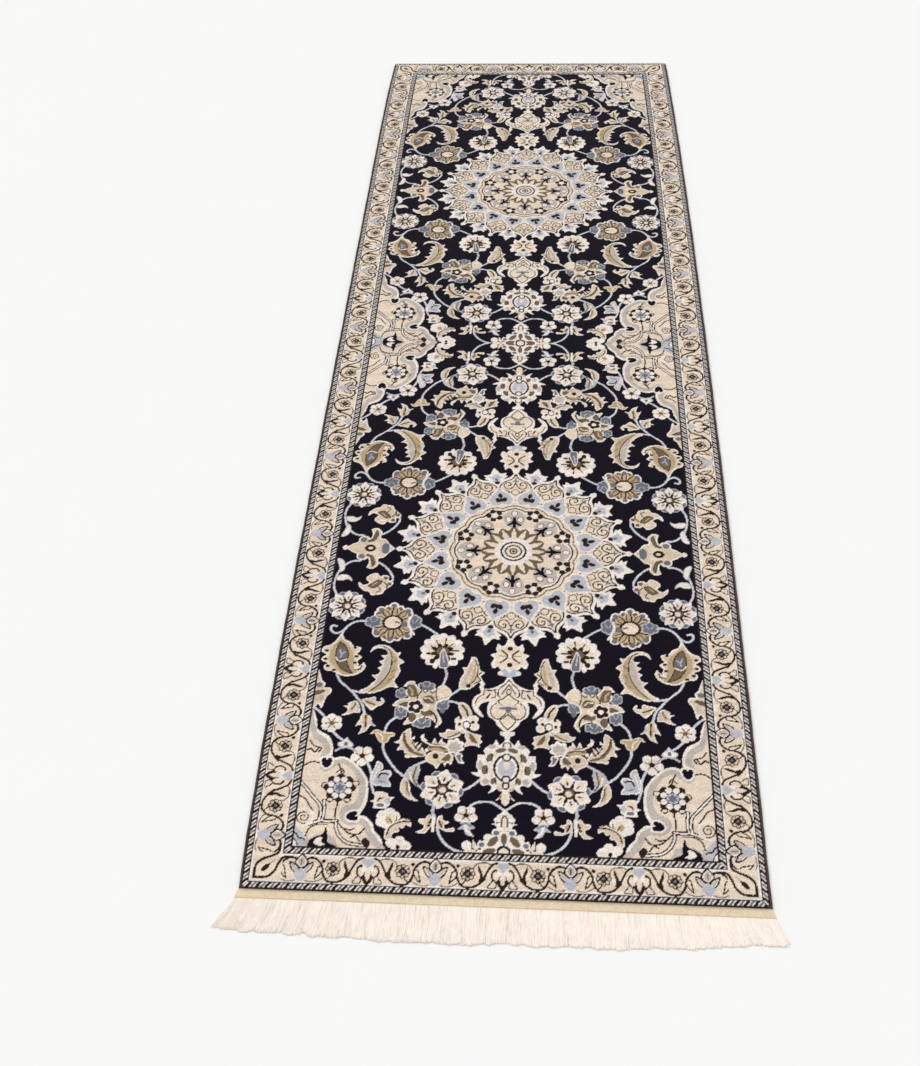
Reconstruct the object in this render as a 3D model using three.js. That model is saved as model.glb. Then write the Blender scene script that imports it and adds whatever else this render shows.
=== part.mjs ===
// Hand-knotted runner rug lying flat on a floor.
// Millimetres, +Z up. The length runs along Y and the fringed end is at -Y.
// The origin is on the underside, in the middle of the knotted area.
import * as THREE from 'three';

// ---- Driving dimensions -------------------------------------------------
const RUG_WIDTH = 800; // over both selvedges
const PILE_LENGTH = 2600; // knotted area, end to end
const GAP = 0.3; // clearance that neighbouring pieces keep

const GROUND_THICKNESS = 2.4; // cotton warps and wefts
const PILE_HEIGHT = 5.2; // wool and silk above the ground weave
const SELVEDGE_DIAMETER = 5; // overcast cord along each long side

const OUTER_GUARD = 11; // width of the outer barber-pole stripe
const MAIN_BORDER = 46; // width of the scrolling-vine border
const INNER_GUARD = 14; // width of the inner barber-pole stripe

const MEDALLION_TIP = 207; // radius to the points of the lobes
const MEDALLION_VALLEY = 166; // radius between two lobes
const MEDALLION_LOBES = 16;
const POINTS_PER_LOBE = 8;

const KILIM_THICKNESS = 2.2;
const KILIM_NEAR_DEPTH = 14; // flat-woven strip before the fringe
const KILIM_FAR_DEPTH = 9; // narrow strip, turned under and sewn flat
const KILIM_FLARE = 4; // how far the near strip spreads past the selvedges
const CHAIN_WIDTH = 2; // twined row that locks a kilim strip's last wefts
const CHAIN_THICKNESS = 2.8;

const FRINGE_LOCKS = 12;
const FRINGE_LENGTH = 60;
const FRINGE_THICKNESS = 3.6;
const FRINGE_ROUNDING = 9; // depth of each lock's rounded tip
const SPLAY_LEFT = 26; // how far the corner locks fan outwards at their tips
const SPLAY_RIGHT = 16;
const SPLAY_POWER = 6; // a high power keeps the fan to the corners

// Scalloped edge of a corner spandrel: distance in from the side, distance in
// from the end of its quarter of the field. A side cartouche is two of them.
const SPANDREL_EDGE = [
  [0, 255],
  [12, 220],
  [34, 192],
  [42, 165],
  [35, 151],
  [62, 160],
  [92, 141],
  [106, 115],
  [106, 86],
  [88, 57],
  [107, 55],
  [127, 30],
  [137, 0],
];
const SPANDREL_EDGE_STEPS = 48;

// ---- Sizes that follow ---------------------------------------------------
const HALF_LENGTH = PILE_LENGTH / 2;
const PILE_HALF_WIDTH = RUG_WIDTH / 2 - SELVEDGE_DIAMETER - GAP;
const BORDERS = OUTER_GUARD + MAIN_BORDER + INNER_GUARD;
const FIELD_HALF_WIDTH = PILE_HALF_WIDTH - BORDERS;
const FIELD_HALF_LENGTH = HALF_LENGTH - BORDERS;
const MEDALLION_OFFSET = FIELD_HALF_LENGTH / 2;
const PILE_BASE = GROUND_THICKNESS + GAP;

// ---- Materials -------------------------------------------------------------
const cloth = (color, roughness = 0.95) =>
  new THREE.MeshStandardMaterial({ color, roughness, metalness: 0 });

const navyWool = () => cloth(0x17132a);
const creamWool = () => cloth(0xe6d6b0);
const creamSilk = () => cloth(0xeadfc6, 0.8);
const guardWool = () => cloth(0x5d5a66);
const brownWool = () => cloth(0x3a2f2c);
const rawCotton = () => cloth(0xe3dccb);
const kilimCotton = () => cloth(0xe2cfa6);
const fringeCotton = () => cloth(0xf6e9dd);

const rug = new THREE.Group();

function addMesh(name, geometry, material) {
  const mesh = new THREE.Mesh(geometry, material);
  mesh.name = name;
  rug.add(mesh);
  return mesh;
}

// A flat piece of the given outline, standing between two heights.
function addSlab(name, shape, bottom, thickness, material) {
  const geometry = new THREE.ExtrudeGeometry(shape, { depth: thickness, bevelEnabled: false });
  const mesh = addMesh(name, geometry, material);
  mesh.position.z = bottom;
}

function addBox(name, xRange, yRange, bottom, thickness, material) {
  const width = xRange[1] - xRange[0];
  const length = yRange[1] - yRange[0];
  const mesh = addMesh(name, new THREE.BoxGeometry(width, length, thickness), material);
  mesh.position.set(
    (xRange[0] + xRange[1]) / 2,
    (yRange[0] + yRange[1]) / 2,
    bottom + thickness / 2,
  );
}

// ---- Outlines ----------------------------------------------------------------
// Sixteen ogee lobes round a centre on the rug's long axis.
function medallionOutline(centreY, grow) {
  const count = MEDALLION_LOBES * POINTS_PER_LOBE;
  const points = [];
  for (let i = 0; i < count; i += 1) {
    const angle = (2 * Math.PI * i) / count;
    const fromTip = Math.abs(Math.sin((MEDALLION_LOBES / 2) * angle));
    const radius = MEDALLION_TIP - (MEDALLION_TIP - MEDALLION_VALLEY) * fromTip + grow;
    points.push(new THREE.Vector2(radius * Math.cos(angle), centreY + radius * Math.sin(angle)));
  }
  return points;
}

// The scalloped edge in one quarter, from its end line round to the side.
// side and way are -1 or +1; inset pulls the edge back towards the corner.
function spandrelEdge(side, endY, way, inset) {
  const curve = new THREE.SplineCurve(SPANDREL_EDGE.map(([u, v]) => new THREE.Vector2(u, v)));
  const local = curve.getPoints(SPANDREL_EDGE_STEPS).reverse();
  return local.map((point, i) => {
    const before = local[Math.max(i - 1, 0)];
    const after = local[Math.min(i + 1, local.length - 1)];
    const along = after.clone().sub(before).normalize();
    const u = point.x - along.y * inset;
    const v = point.y + along.x * inset;
    const isEnd = i === 0;
    const isSide = i === local.length - 1;
    return new THREE.Vector2(
      side * (FIELD_HALF_WIDTH - (isSide ? 0 : Math.max(u, 0))),
      endY + way * (isEnd ? 0 : Math.max(v, 0)),
    );
  });
}

// ---- Ground weave and pile -----------------------------------------------------
addBox(
  'ground_weave',
  [-PILE_HALF_WIDTH, PILE_HALF_WIDTH],
  [-HALF_LENGTH, HALF_LENGTH],
  0,
  GROUND_THICKNESS,
  rawCotton(),
);

// The field's edge passes every spandrel and cartouche, round from the near end.
const quarters = [
  [1, -FIELD_HALF_LENGTH, 1],
  [1, 0, -1],
  [1, 0, 1],
  [1, FIELD_HALF_LENGTH, -1],
  [-1, FIELD_HALF_LENGTH, -1],
  [-1, 0, 1],
  [-1, 0, -1],
  [-1, -FIELD_HALF_LENGTH, 1],
];
const fieldEdge = quarters.flatMap(([side, endY, way], i) => {
  const edge = spandrelEdge(side, endY, way, 0);
  return i % 2 === 0 ? edge : edge.reverse();
});
const fieldShape = new THREE.Shape(fieldEdge);
for (const way of [-1, 1]) {
  fieldShape.holes.push(new THREE.Path(medallionOutline(way * MEDALLION_OFFSET, GAP)));
}
addSlab('pile_field', fieldShape, PILE_BASE, PILE_HEIGHT, navyWool());

const ends = [
  ['near', -1],
  ['far', 1],
];
const sides = [
  ['left', -1],
  ['right', 1],
];

for (const [end, way] of ends) {
  const outline = new THREE.Shape(medallionOutline(way * MEDALLION_OFFSET, 0));
  addSlab(`pile_medallion_${end}`, outline, PILE_BASE, PILE_HEIGHT, creamSilk());
}

for (const [end, way] of ends) {
  for (const [side, hand] of sides) {
    const corner = new THREE.Vector2(hand * FIELD_HALF_WIDTH, way * FIELD_HALF_LENGTH);
    const edge = spandrelEdge(hand, way * FIELD_HALF_LENGTH, -way, GAP);
    const shape = new THREE.Shape([corner, ...edge]);
    addSlab(`pile_spandrel_${end}_${side}`, shape, PILE_BASE, PILE_HEIGHT, creamWool());
  }
}

for (const [side, hand] of sides) {
  const upper = spandrelEdge(hand, 0, 1, GAP);
  const lower = spandrelEdge(hand, 0, -1, GAP).slice(1).reverse();
  const shape = new THREE.Shape([...lower, ...upper]);
  addSlab(`pile_cartouche_${side}`, shape, PILE_BASE, PILE_HEIGHT, creamWool());
}

// Each stripe is two long sides and two ends; the sides run the full length.
const stripes = [
  ['outer_guard', 0, OUTER_GUARD, guardWool],
  ['main_border', OUTER_GUARD, MAIN_BORDER, creamWool],
  ['inner_guard', OUTER_GUARD + MAIN_BORDER, INNER_GUARD, guardWool],
];
for (const [stripe, inset, width, wool] of stripes) {
  const outerX = PILE_HALF_WIDTH - inset;
  const outerY = HALF_LENGTH - inset;
  const innerX = outerX - width + GAP;
  const innerY = outerY - width + GAP;
  for (const [side, hand] of sides) {
    const xRange = [hand * innerX, hand * outerX].sort((a, b) => a - b);
    addBox(`pile_${stripe}_${side}`, xRange, [-outerY, outerY], PILE_BASE, PILE_HEIGHT, wool());
  }
  for (const [end, way] of ends) {
    const yRange = [way * innerY, way * outerY].sort((a, b) => a - b);
    const reach = innerX - GAP;
    addBox(`pile_${stripe}_${end}`, [-reach, reach], yRange, PILE_BASE, PILE_HEIGHT, wool());
  }
}

// ---- Selvedges ---------------------------------------------------------------
for (const [side, hand] of sides) {
  const cord = new THREE.CylinderGeometry(
    SELVEDGE_DIAMETER / 2,
    SELVEDGE_DIAMETER / 2,
    PILE_LENGTH,
    16,
  );
  const mesh = addMesh(`selvedge_${side}`, cord, brownWool());
  mesh.position.set(hand * (RUG_WIDTH - SELVEDGE_DIAMETER) / 2, 0, SELVEDGE_DIAMETER / 2);
}

// ---- Kilim strips and the rows that lock them -----------------------------------
const kilimNearStart = -HALF_LENGTH - GAP;
const kilimNearEnd = kilimNearStart - KILIM_NEAR_DEPTH;
const flaredHalfWidth = RUG_WIDTH / 2 + KILIM_FLARE;
const kilimNear = new THREE.Shape([
  new THREE.Vector2(-flaredHalfWidth, kilimNearEnd),
  new THREE.Vector2(flaredHalfWidth, kilimNearEnd),
  new THREE.Vector2(RUG_WIDTH / 2, kilimNearStart),
  new THREE.Vector2(-RUG_WIDTH / 2, kilimNearStart),
]);
addSlab('kilim_near', kilimNear, 0, KILIM_THICKNESS, kilimCotton());

const chainNearStart = kilimNearEnd - GAP;
const chainNearEnd = chainNearStart - CHAIN_WIDTH;
addBox(
  'locking_row_near',
  [-flaredHalfWidth, flaredHalfWidth],
  [chainNearEnd, chainNearStart],
  0,
  CHAIN_THICKNESS,
  kilimCotton(),
);

const kilimFarStart = HALF_LENGTH + GAP;
const kilimFarEnd = kilimFarStart + KILIM_FAR_DEPTH;
addBox(
  'kilim_far',
  [-RUG_WIDTH / 2, RUG_WIDTH / 2],
  [kilimFarStart, kilimFarEnd],
  0,
  KILIM_THICKNESS,
  kilimCotton(),
);
addBox(
  'locking_row_far',
  [-RUG_WIDTH / 2, RUG_WIDTH / 2],
  [kilimFarEnd + GAP, kilimFarEnd + GAP + CHAIN_WIDTH],
  0,
  CHAIN_THICKNESS,
  kilimCotton(),
);

// ---- Fringe: the warp ends, lying in locks that fan out at both corners -----------
const fringeStart = chainNearEnd - GAP;
const fringeShoulder = fringeStart - FRINGE_LENGTH + FRINGE_ROUNDING;
const rootX = (t) => (2 * t - 1) * flaredHalfWidth;
const tipX = (t) => rootX(t) - SPLAY_LEFT * (1 - t) ** SPLAY_POWER + SPLAY_RIGHT * t ** SPLAY_POWER;

for (let i = 0; i < FRINGE_LOCKS; i += 1) {
  const left = i / FRINGE_LOCKS;
  const right = (i + 1) / FRINGE_LOCKS;
  const middle = (tipX(left) + tipX(right)) / 2;
  const lock = new THREE.Shape();
  lock.moveTo(rootX(right) - GAP, fringeStart);
  lock.lineTo(rootX(left) + GAP, fringeStart);
  lock.lineTo(tipX(left) + GAP, fringeShoulder);
  lock.quadraticCurveTo(
    middle,
    fringeShoulder - 2 * FRINGE_ROUNDING,
    tipX(right) - GAP,
    fringeShoulder,
  );
  const name = `fringe_lock_${String(i + 1).padStart(2, '0')}`;
  addSlab(name, lock, 0, FRINGE_THICKNESS, fringeCotton());
}

export default rug;
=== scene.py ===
"""Looks of a hand-knotted runner rug that lies flat on a pale floor.

The pile is drawn as a weaver draws it: a knot plan gives every knot its dye, and
each knot is one vertex of the pile. Lengths are in millimetres until a mesh is
made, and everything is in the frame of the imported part.
"""
import math

import bpy
import numpy as np
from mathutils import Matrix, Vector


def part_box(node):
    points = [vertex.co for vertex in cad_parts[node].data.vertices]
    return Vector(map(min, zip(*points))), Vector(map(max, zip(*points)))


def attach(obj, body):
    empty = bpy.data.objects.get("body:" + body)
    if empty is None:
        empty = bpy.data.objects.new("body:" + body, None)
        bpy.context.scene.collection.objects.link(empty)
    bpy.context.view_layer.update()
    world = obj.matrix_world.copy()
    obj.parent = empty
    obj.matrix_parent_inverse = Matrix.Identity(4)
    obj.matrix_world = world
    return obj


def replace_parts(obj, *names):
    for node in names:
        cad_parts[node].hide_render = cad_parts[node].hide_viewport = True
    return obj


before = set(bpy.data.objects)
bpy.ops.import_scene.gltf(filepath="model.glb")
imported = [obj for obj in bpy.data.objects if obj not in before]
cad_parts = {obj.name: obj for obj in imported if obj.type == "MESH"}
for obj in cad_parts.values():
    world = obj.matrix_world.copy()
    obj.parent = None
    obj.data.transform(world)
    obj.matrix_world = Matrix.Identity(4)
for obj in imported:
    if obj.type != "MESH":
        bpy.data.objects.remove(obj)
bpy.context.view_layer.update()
rng = np.random.default_rng(11)
MM = 0.001

# ---- Knot plan: which dye each knot has ------------------------------------
# The plan is drawn in rug millimetres, as a weaver's cartoon is, and each knot
# takes the dye at its own place. One quarter-length of half the field is drawn
# and the loom repeats it in mirror: (u, v) is the distance in from the side of
# the field and the distance from the end of the repeat towards its medallion.
DYES = {
    "navy": "#120d1b",
    "brown": "#2e211d",
    "taupe": "#75624f",
    "tan": "#bfa785",
    "fawn": "#dfcbb2",
    "cream": "#efdcc7",
    "ivory": "#f5ebe3",
    "stone": "#c6bbb2",
    "pearl": "#d5d6dc",
    "blue": "#c2c3cb",
    "slate": "#73757f",
}
DYE_NAMES = list(DYES)

FIELD_COLUMNS, REPEAT_ROWS, BORDER_KNOTS = 216, 409, 47
COLUMNS = 2 * (FIELD_COLUMNS + BORDER_KNOTS)
ROWS = 4 * REPEAT_ROWS + 2 * BORDER_KNOTS


CURVE_STEPS, DOT_SIDES, RING_SIDES, LOBE_SIDES = 6, 24, 32, 12
RIM_WIDTH = 1.7  # a rim loses its outer half, so it is drawn this much wider


def around(count, radius, x=0.0, y=0.0, tilt=0.0):
    """Places in equal steps on a circle, clockwise from straight up."""
    turns = [math.radians(tilt + 360 * k / count) for k in range(count)]
    return [(x + radius * math.sin(a), y + radius * math.cos(a)) for a in turns]


def smooth(points, closed):
    """Points along a soft curve through the given ones."""
    p = np.array(points, float)
    count = len(p)
    if closed:
        p = np.vstack([p[-1], p, p[:2]])
    else:
        p = np.vstack([2 * p[0] - p[1], p, 2 * p[-1] - p[-2]])
        count -= 1
    t = (np.arange(CURVE_STEPS) / CURVE_STEPS)[:, None]
    runs = []
    for i in range(count):
        a, b, c, d = p[i : i + 4]
        bend = (2 * a - 5 * b + 4 * c - d) * t**2 + (3 * b - a - 3 * c + d) * t**3
        runs.append(0.5 * (2 * b + (c - a) * t + bend))
    curve = np.vstack(runs)
    return curve if closed else np.vstack([curve, p[-2]])


def inside(points, x, y):
    """Which places of a grid lie inside an outline."""
    within = np.zeros(x.shape, bool)
    for (ax, ay), (bx, by) in zip(points, np.roll(points, -1, 0)):
        if ay != by:
            cross = ax + (y - ay) * (bx - ax) / (by - ay)
            within ^= ((y < ay) != (y < by)) & (x < cross)
    return within


class Plan:
    """A grid of knots, each with the number of its dye."""

    def __init__(self, columns, rows, pitch, ground):
        self.pitch = np.array(pitch)
        self.dye = np.full((rows, columns), DYE_NAMES.index(ground), np.uint8)

    def window(self, points, margin=0.0):
        """The knots near some points, and where they are."""
        rows, columns = self.dye.shape
        low = np.floor((points.min(0) - margin) / self.pitch).astype(int)
        high = np.ceil((points.max(0) + margin) / self.pitch).astype(int) + 1
        c0, r0 = np.clip(low, 0, (columns, rows))
        c1, r1 = np.clip(high, 0, (columns, rows))
        x = (np.arange(c0, c1) + 0.5) * self.pitch[0]
        y = (np.arange(r0, r1) + 0.5) * self.pitch[1]
        return self.dye[r0:r1, c0:c1], *np.meshgrid(x, y)

    def fill(self, points, dye):
        part, x, y = self.window(points)
        if part.size:
            part[inside(points, x, y)] = DYE_NAMES.index(dye)

    def stroke(self, points, width, dye, rim=False):
        """A line along some points; a rim keeps only its half inside the outline."""
        part, x, y = self.window(points, width)
        if not part.size:
            return
        nearest = np.full(part.shape, np.inf)
        for (ax, ay), (bx, by) in zip(points[:-1], points[1:]):
            dx, dy = bx - ax, by - ay
            run = max(dx * dx + dy * dy, 1e-9)
            t = np.clip(((x - ax) * dx + (y - ay) * dy) / run, 0, 1)
            gap = (x - ax - t * dx) ** 2 + (y - ay - t * dy) ** 2
            nearest = np.minimum(nearest, gap)
        on_line = nearest < (width / 2) ** 2
        if rim:
            on_line &= inside(points, x, y)
        part[on_line] = DYE_NAMES.index(dye)


class Pen:
    """Draws on a plan in its own millimetres: moved, turned and flipped."""

    def __init__(self, plan, at=(0.0, 0.0), turn=0.0, flip=(1, 1)):
        c, s = math.cos(math.radians(turn)), math.sin(math.radians(turn))
        self.plan = plan
        self.at = np.array(at, float)
        self.axes = np.array([[c, s], [-s, c]]) * np.array(flip)[:, None]

    def place(self, points):
        return np.array(points, float) @ self.axes + self.at

    def pen(self, at, turn=0.0, flip=(1, 1)):
        """A pen of its own for one motif, at a place in this one's millimetres."""
        inner = Pen(self.plan, self.place([at])[0], turn, flip)
        inner.axes = inner.axes @ self.axes
        return inner

    def turned(self, count, tilt=0.0, at=(0, 0)):
        """Pens about one place, turned in equal steps."""
        return [self.pen(at, tilt + 360 * k / count) for k in range(count)]

    def halves(self):
        """A pen for each side of a motif that is the same both ways about its y axis."""
        return [self.pen((0, 0), 0, (side, 1)) for side in (-1, 1)]

    def line(self, dye, width, *points):
        curve = smooth(points, False) if len(points) > 2 else np.array(points, float)
        self.plan.stroke(self.place(curve), width, dye)

    def lines(self, dye, width, *routes):
        for route in routes:
            self.line(dye, width, *route)

    def shape(self, dye, points, edge=None, width=2.2):
        curve = self.place(smooth(points, True))
        self.plan.fill(curve, dye)
        if edge:
            self.plan.stroke(np.vstack([curve, curve[:1]]), RIM_WIDTH * width, edge, rim=True)

    def facets(self, dye, *points):
        self.plan.fill(self.place(points), dye)

    def dot(self, dye, x, y, rx, ry=None, tilt=0.0):
        a = np.linspace(0, 2 * np.pi, DOT_SIDES, endpoint=False)
        c, s = math.cos(math.radians(tilt)), math.sin(math.radians(tilt))
        px, py = rx * np.cos(a), (ry or rx) * np.sin(a)
        self.plan.fill(self.place(np.stack([x + px * c - py * s, y + px * s + py * c], 1)), dye)

    def dots(self, dye, radius, places):
        for x, y in places:
            self.dot(dye, x, y, radius)

    def scallop(self, dye, radius, lobes, depth, x=0.0, y=0.0, tilt=0.0):
        """A round shape whose rim is a ring of lobes, each depth of the radius high."""
        a = np.linspace(0, 2 * np.pi, LOBE_SIDES * lobes, endpoint=False)
        r = radius * (1 - depth * (1 - np.abs(np.cos(lobes / 2 * (a - math.radians(tilt))))))
        self.plan.fill(self.place(np.stack([x + r * np.sin(a), y + r * np.cos(a)], 1)), dye)

    def ring(self, dye, width, x, y, rx, ry=None):
        a = np.linspace(0, 2 * np.pi, RING_SIDES + 1)
        points = np.stack([x + rx * np.cos(a), y + (ry or rx) * np.sin(a)], 1)
        self.plan.stroke(self.place(points), width, dye)


# ---- Motifs that repeat -------------------------------------------------------
def flower(pen, x, y, radius, petals, tilt=0.0, eye="taupe"):
    """Small blossom: broad petals about an eye."""
    pen.dots("ivory", 0.42 * radius, around(petals, 0.6 * radius, x, y, tilt))
    pen.dot("cream", x, y, 0.46 * radius)
    for seam in pen.turned(petals, -tilt - 180 / petals, (x, y)):
        seam.line("taupe", 0.1 * radius, (0, 0.24 * radius), (0, 0.6 * radius))
    pen.dot(eye, x, y, 0.23 * radius)


def ruffle(pen, x, y, rx, ry):
    """Small slate bloom with a ruffled pale rim and two pale folds."""
    for dye, size in (("blue", 0.48), ("slate", 0.33)):
        for across, up in around(6, 0.6):
            pen.dot(dye, x + across * rx, y + up * ry, size * rx, size * ry)
    pen.dot("slate", x, y, 0.62 * rx, 0.62 * ry)
    for side in (-1, 1):
        pen.line("blue", 1.3, (x + 0.1 * side * rx, y - 0.1 * ry), (x + 0.45 * side * rx, y + 0.5 * ry))


def rosette(pen, x, y, radius, petals, tilt=0.0):
    """Large blossom seen face on: pointed petals, slate sepals between them, a ringed eye."""
    half = 2.35 * radius / petals
    turns = [-tilt - 360 * k / petals for k in range(petals)]
    between = [pen.pen((x, y), turn - 180 / petals) for turn in turns]
    for sepal in between:
        sepal.dot("blue", 0, 0.78 * radius, 0.24 * radius, 0.19 * radius)
        sepal.dot("slate", 0, 0.8 * radius, 0.17 * radius, 0.12 * radius)
    for k, turn in enumerate(turns):
        petal = pen.pen((x, y), turn)
        petal.shape("ivory", [(-0.5 * half, 0.2 * radius), (-0.98 * half, 0.55 * radius),
            (-0.6 * half, 0.78 * radius), (0, radius), (0.6 * half, 0.78 * radius),
            (0.98 * half, 0.55 * radius), (0.5 * half, 0.2 * radius)])
        petal.dot("cream", 0, 0.6 * radius, 0.36 * half, 0.2 * radius)
        petal.line("brown" if k % 3 == 0 else "taupe", 0.07 * radius, (0, 0.42 * radius),
            (0.02 * radius, 0.58 * radius))
    for seam in between:
        seam.line("taupe", 0.08 * radius, (0, 0.3 * radius), (0, 0.64 * radius))
        seam.line("brown", 0.14 * radius, (0, 0.22 * radius), (0, 0.44 * radius))
    pen.dot("brown", x, y, 0.29 * radius)
    pen.dot("taupe", x, y, 0.22 * radius)
    pen.dot("cream", x + 0.03 * radius, y - 0.04 * radius, 0.15 * radius)


# ---- The field's repeat --------------------------------------------------------
VINES = [
    [(264, -2), (246, 4), (232, 15), (224, 28), (220, 40)],
    [(271, 80), (282, 86), (300, 87), (312, 81), (326, 70)],
    [(252, 104), (266, 111), (284, 127)],
    [(124, 192), (124, 180), (130, 165), (140, 150), (150, 138), (163, 127)],
    [(163, 127), (170, 142), (184, 152), (200, 160)],
    [(101, 152), (109, 134), (110, 118), (117, 96)],
    [(136, 72), (143, 62)],
    [(-2, 258), (12, 247), (24, 234)],
    [(37, 210), (48, 199), (58, 192)],
    [(124, 208), (125, 218), (129, 228), (136, 236), (144, 242), (152, 246)],
    [(224, 284), (240, 298), (254, 310)],
    [(220, 272), (232, 274), (246, 269)],
    [(32, 324), (40, 309), (50, 300), (58, 292), (66, 284), (72, 276), (81, 265), (87, 246)],
    [(58, 292), (70, 289), (82, 287)],
    [(30, 404), (33, 419), (41, 431), (52, 439), (66, 441), (80, 440)],
    [(35, 422), (26, 414), (17, 413), (10, 420), (11, 429), (19, 428)],
    [(160, 438), (174, 432), (187, 423), (200, 413)],
    [(215, 348), (218, 332), (216, 316), (211, 300)],
    [(10, 502), (4, 515), (3, 533), (8, 555), (18, 572), (30, 581), (44, 583)],
    [(74, 582), (90, 571), (102, 556), (108, 541), (104, 528)],
]


VINE_WIDTH = 4.0


def blossoms(pen):
    """The open flowers along the vines."""
    rosette(pen, 32, 475, 35, 8)
    rosette(pen, 224, 107, 36, 6, 8)
    flower(pen, 35, 225, 18, 6, -6)
    flower(pen, 92, 164, 19, 5, 36, "brown")
    flower(pen, 264, 62, 18, 5, 36, "brown")
    # blue bud with two arms
    pen.shape("ivory", [(64, 199), (58, 192), (50, 187), (51, 181), (58, 178), (70, 178), (76, 182),
        (72, 189), (67, 193)], "blue", 2)
    pen.dot("slate", 63, 185, 3.6, 4)
    pen.line("blue", 4, (48, 172), (58, 178), (70, 178), (82, 171))
    # sepals under the five-petalled flower
    pen.shape("blue", [(256, 50), (258, 44), (252, 38), (261, 38), (265, 30), (272, 27), (278, 27),
        (271, 37), (280, 41), (273, 46), (270, 51)])
    pen.line("slate", 2.6, (259, 46), (265, 48), (272, 44))
    pen.line("ivory", 4.4, (264, 44), (266, 37), (273, 29))
    # ivory blossom with slate sepals
    pen.shape("ivory", [(118, 97), (128, 99), (139, 96), (141, 91), (150, 90), (145, 84), (144, 76),
        (137, 70), (126, 69), (118, 70), (119, 78), (113, 82), (119, 86)])
    pen.shape("cream", [(120, 95), (130, 96), (138, 93), (137, 84), (124, 78), (121, 86)])
    pen.dot("slate", 129, 75, 6, 3.4)
    pen.dot("blue", 140, 83, 4.5, 6)
    pen.line("brown", 2.6, (125, 83), (127, 87), (133, 88))


def cut_blossoms(pen):
    """Ivory flowers and their leaf beside the spandrel's foot."""
    pen.dots("ivory", 9, [(134, 57), (133, 47), (145, 62), (153, 56), (141, 44)])
    pen.shape("cream", [(140, 58), (150, 60), (158, 53), (155, 46), (146, 42), (139, 47)])
    pen.dot("tan", 144, 50, 4, 6)
    pen.line("brown", 2, (146, 52), (149, 47), (149, 42))
    pen.line("brown", 2.2, (157, 56), (157, 51), (154, 46))
    pen.shape("fawn", [(140, 18), (141, 34), (151, 45), (162, 51), (170, 53), (178, 49), (180, 39),
        (172, 42), (167, 36), (161, 37), (162, 30), (153, 27), (149, 16)], "ivory", 2)
    pen.line("brown", 2.2, (143, 24), (148, 38), (158, 45), (168, 48), (177, 47))
    pen.line("taupe", 1.6, (160, 50), (168, 53), (178, 48))
    for x, y, r in ((151, 11, 8), (164, 15, 8), (174, 6, 8.5), (160, 4, 9)):
        pen.dot("ivory", x, y, r)
    pen.dots("cream", 4, [(165, 13), (173, 5)])
    pen.dot("navy", 162, 4, 3.6)


def lily(pen):
    pen.shape("fawn", [(210, 60), (205, 61), (200, 54), (192, 53), (192, 47), (199, 43), (198, 36),
        (188, 31), (196, 28), (203, 30), (208, 37), (214, 46)], "ivory", 2)
    pen.shape("fawn", [(220, 56), (227, 61), (229, 53), (239, 49), (231, 44), (234, 38), (246, 40),
        (246, 34), (235, 33), (226, 37), (219, 42)], "ivory", 2)
    pen.shape("tan", [(211, 55), (206, 49), (205, 40), (210, 42)], "taupe", 1.2)
    pen.line("brown", 2.4, (210, 53), (208, 46), (207, 41))
    pen.shape("tan", [(222, 53), (230, 48), (229, 41), (224, 43)])
    pen.line("brown", 2.8, (223, 51), (225, 45), (227, 41))
    pen.line("blue", 5.4, (213, 78), (212, 66), (215, 56), (214, 44))
    pen.line("ivory", 4, (214, 60), (214, 46), (214, 33))


def leaf_pair(pen):
    """Two curved leaves that part where the vine turns."""
    pen.shape("stone", [(163, 126), (166, 138), (174, 147), (184, 152), (187, 141), (185, 128),
        (184, 119), (191, 108), (180, 113), (173, 121)], "blue", 2.2)
    pen.line("ivory", 2.6, (171, 136), (174, 124), (183, 114))
    pen.line("taupe", 3, (181, 146), (178, 134), (178, 122), (184, 113))
    pen.shape("fawn", [(163, 127), (158, 116), (158, 104), (163, 95), (173, 87), (188, 84), (180, 91),
        (175, 99), (173, 111), (169, 121)], "ivory", 2.4)
    pen.shape("tan", [(165, 122), (165, 110), (168, 98), (174, 93), (171, 104), (169, 116)])
    pen.line("brown", 1.6, (168, 118), (169, 106), (174, 95))


def blue_leaves(pen):
    pen.shape("blue", [(111, 116), (110, 130), (114, 144), (117, 154), (124, 152), (128, 143),
        (123, 135), (130, 138), (140, 137), (142, 129), (138, 122), (143, 110), (134, 108), (124, 110),
        (118, 109)], "ivory", 2.4)
    pen.line("brown", 3, (121, 124), (126, 132), (136, 131))
    pen.line("ivory", 2.2, (114, 118), (117, 132), (121, 146))
    pen.line("slate", 2, (122, 118), (132, 116))


def bell(pen):
    """Tan bell that the vine runs through."""
    pen.shape("tan", [(122, 210), (115, 214), (107, 214), (101, 206), (107, 207), (110, 204),
        (113, 198), (118, 190), (127, 189), (132, 194), (134, 201), (141, 203), (140, 209), (132, 210)],
        "cream", 2.4)
    pen.line("cream", 3, (112, 209), (120, 203), (122, 194))


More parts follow.
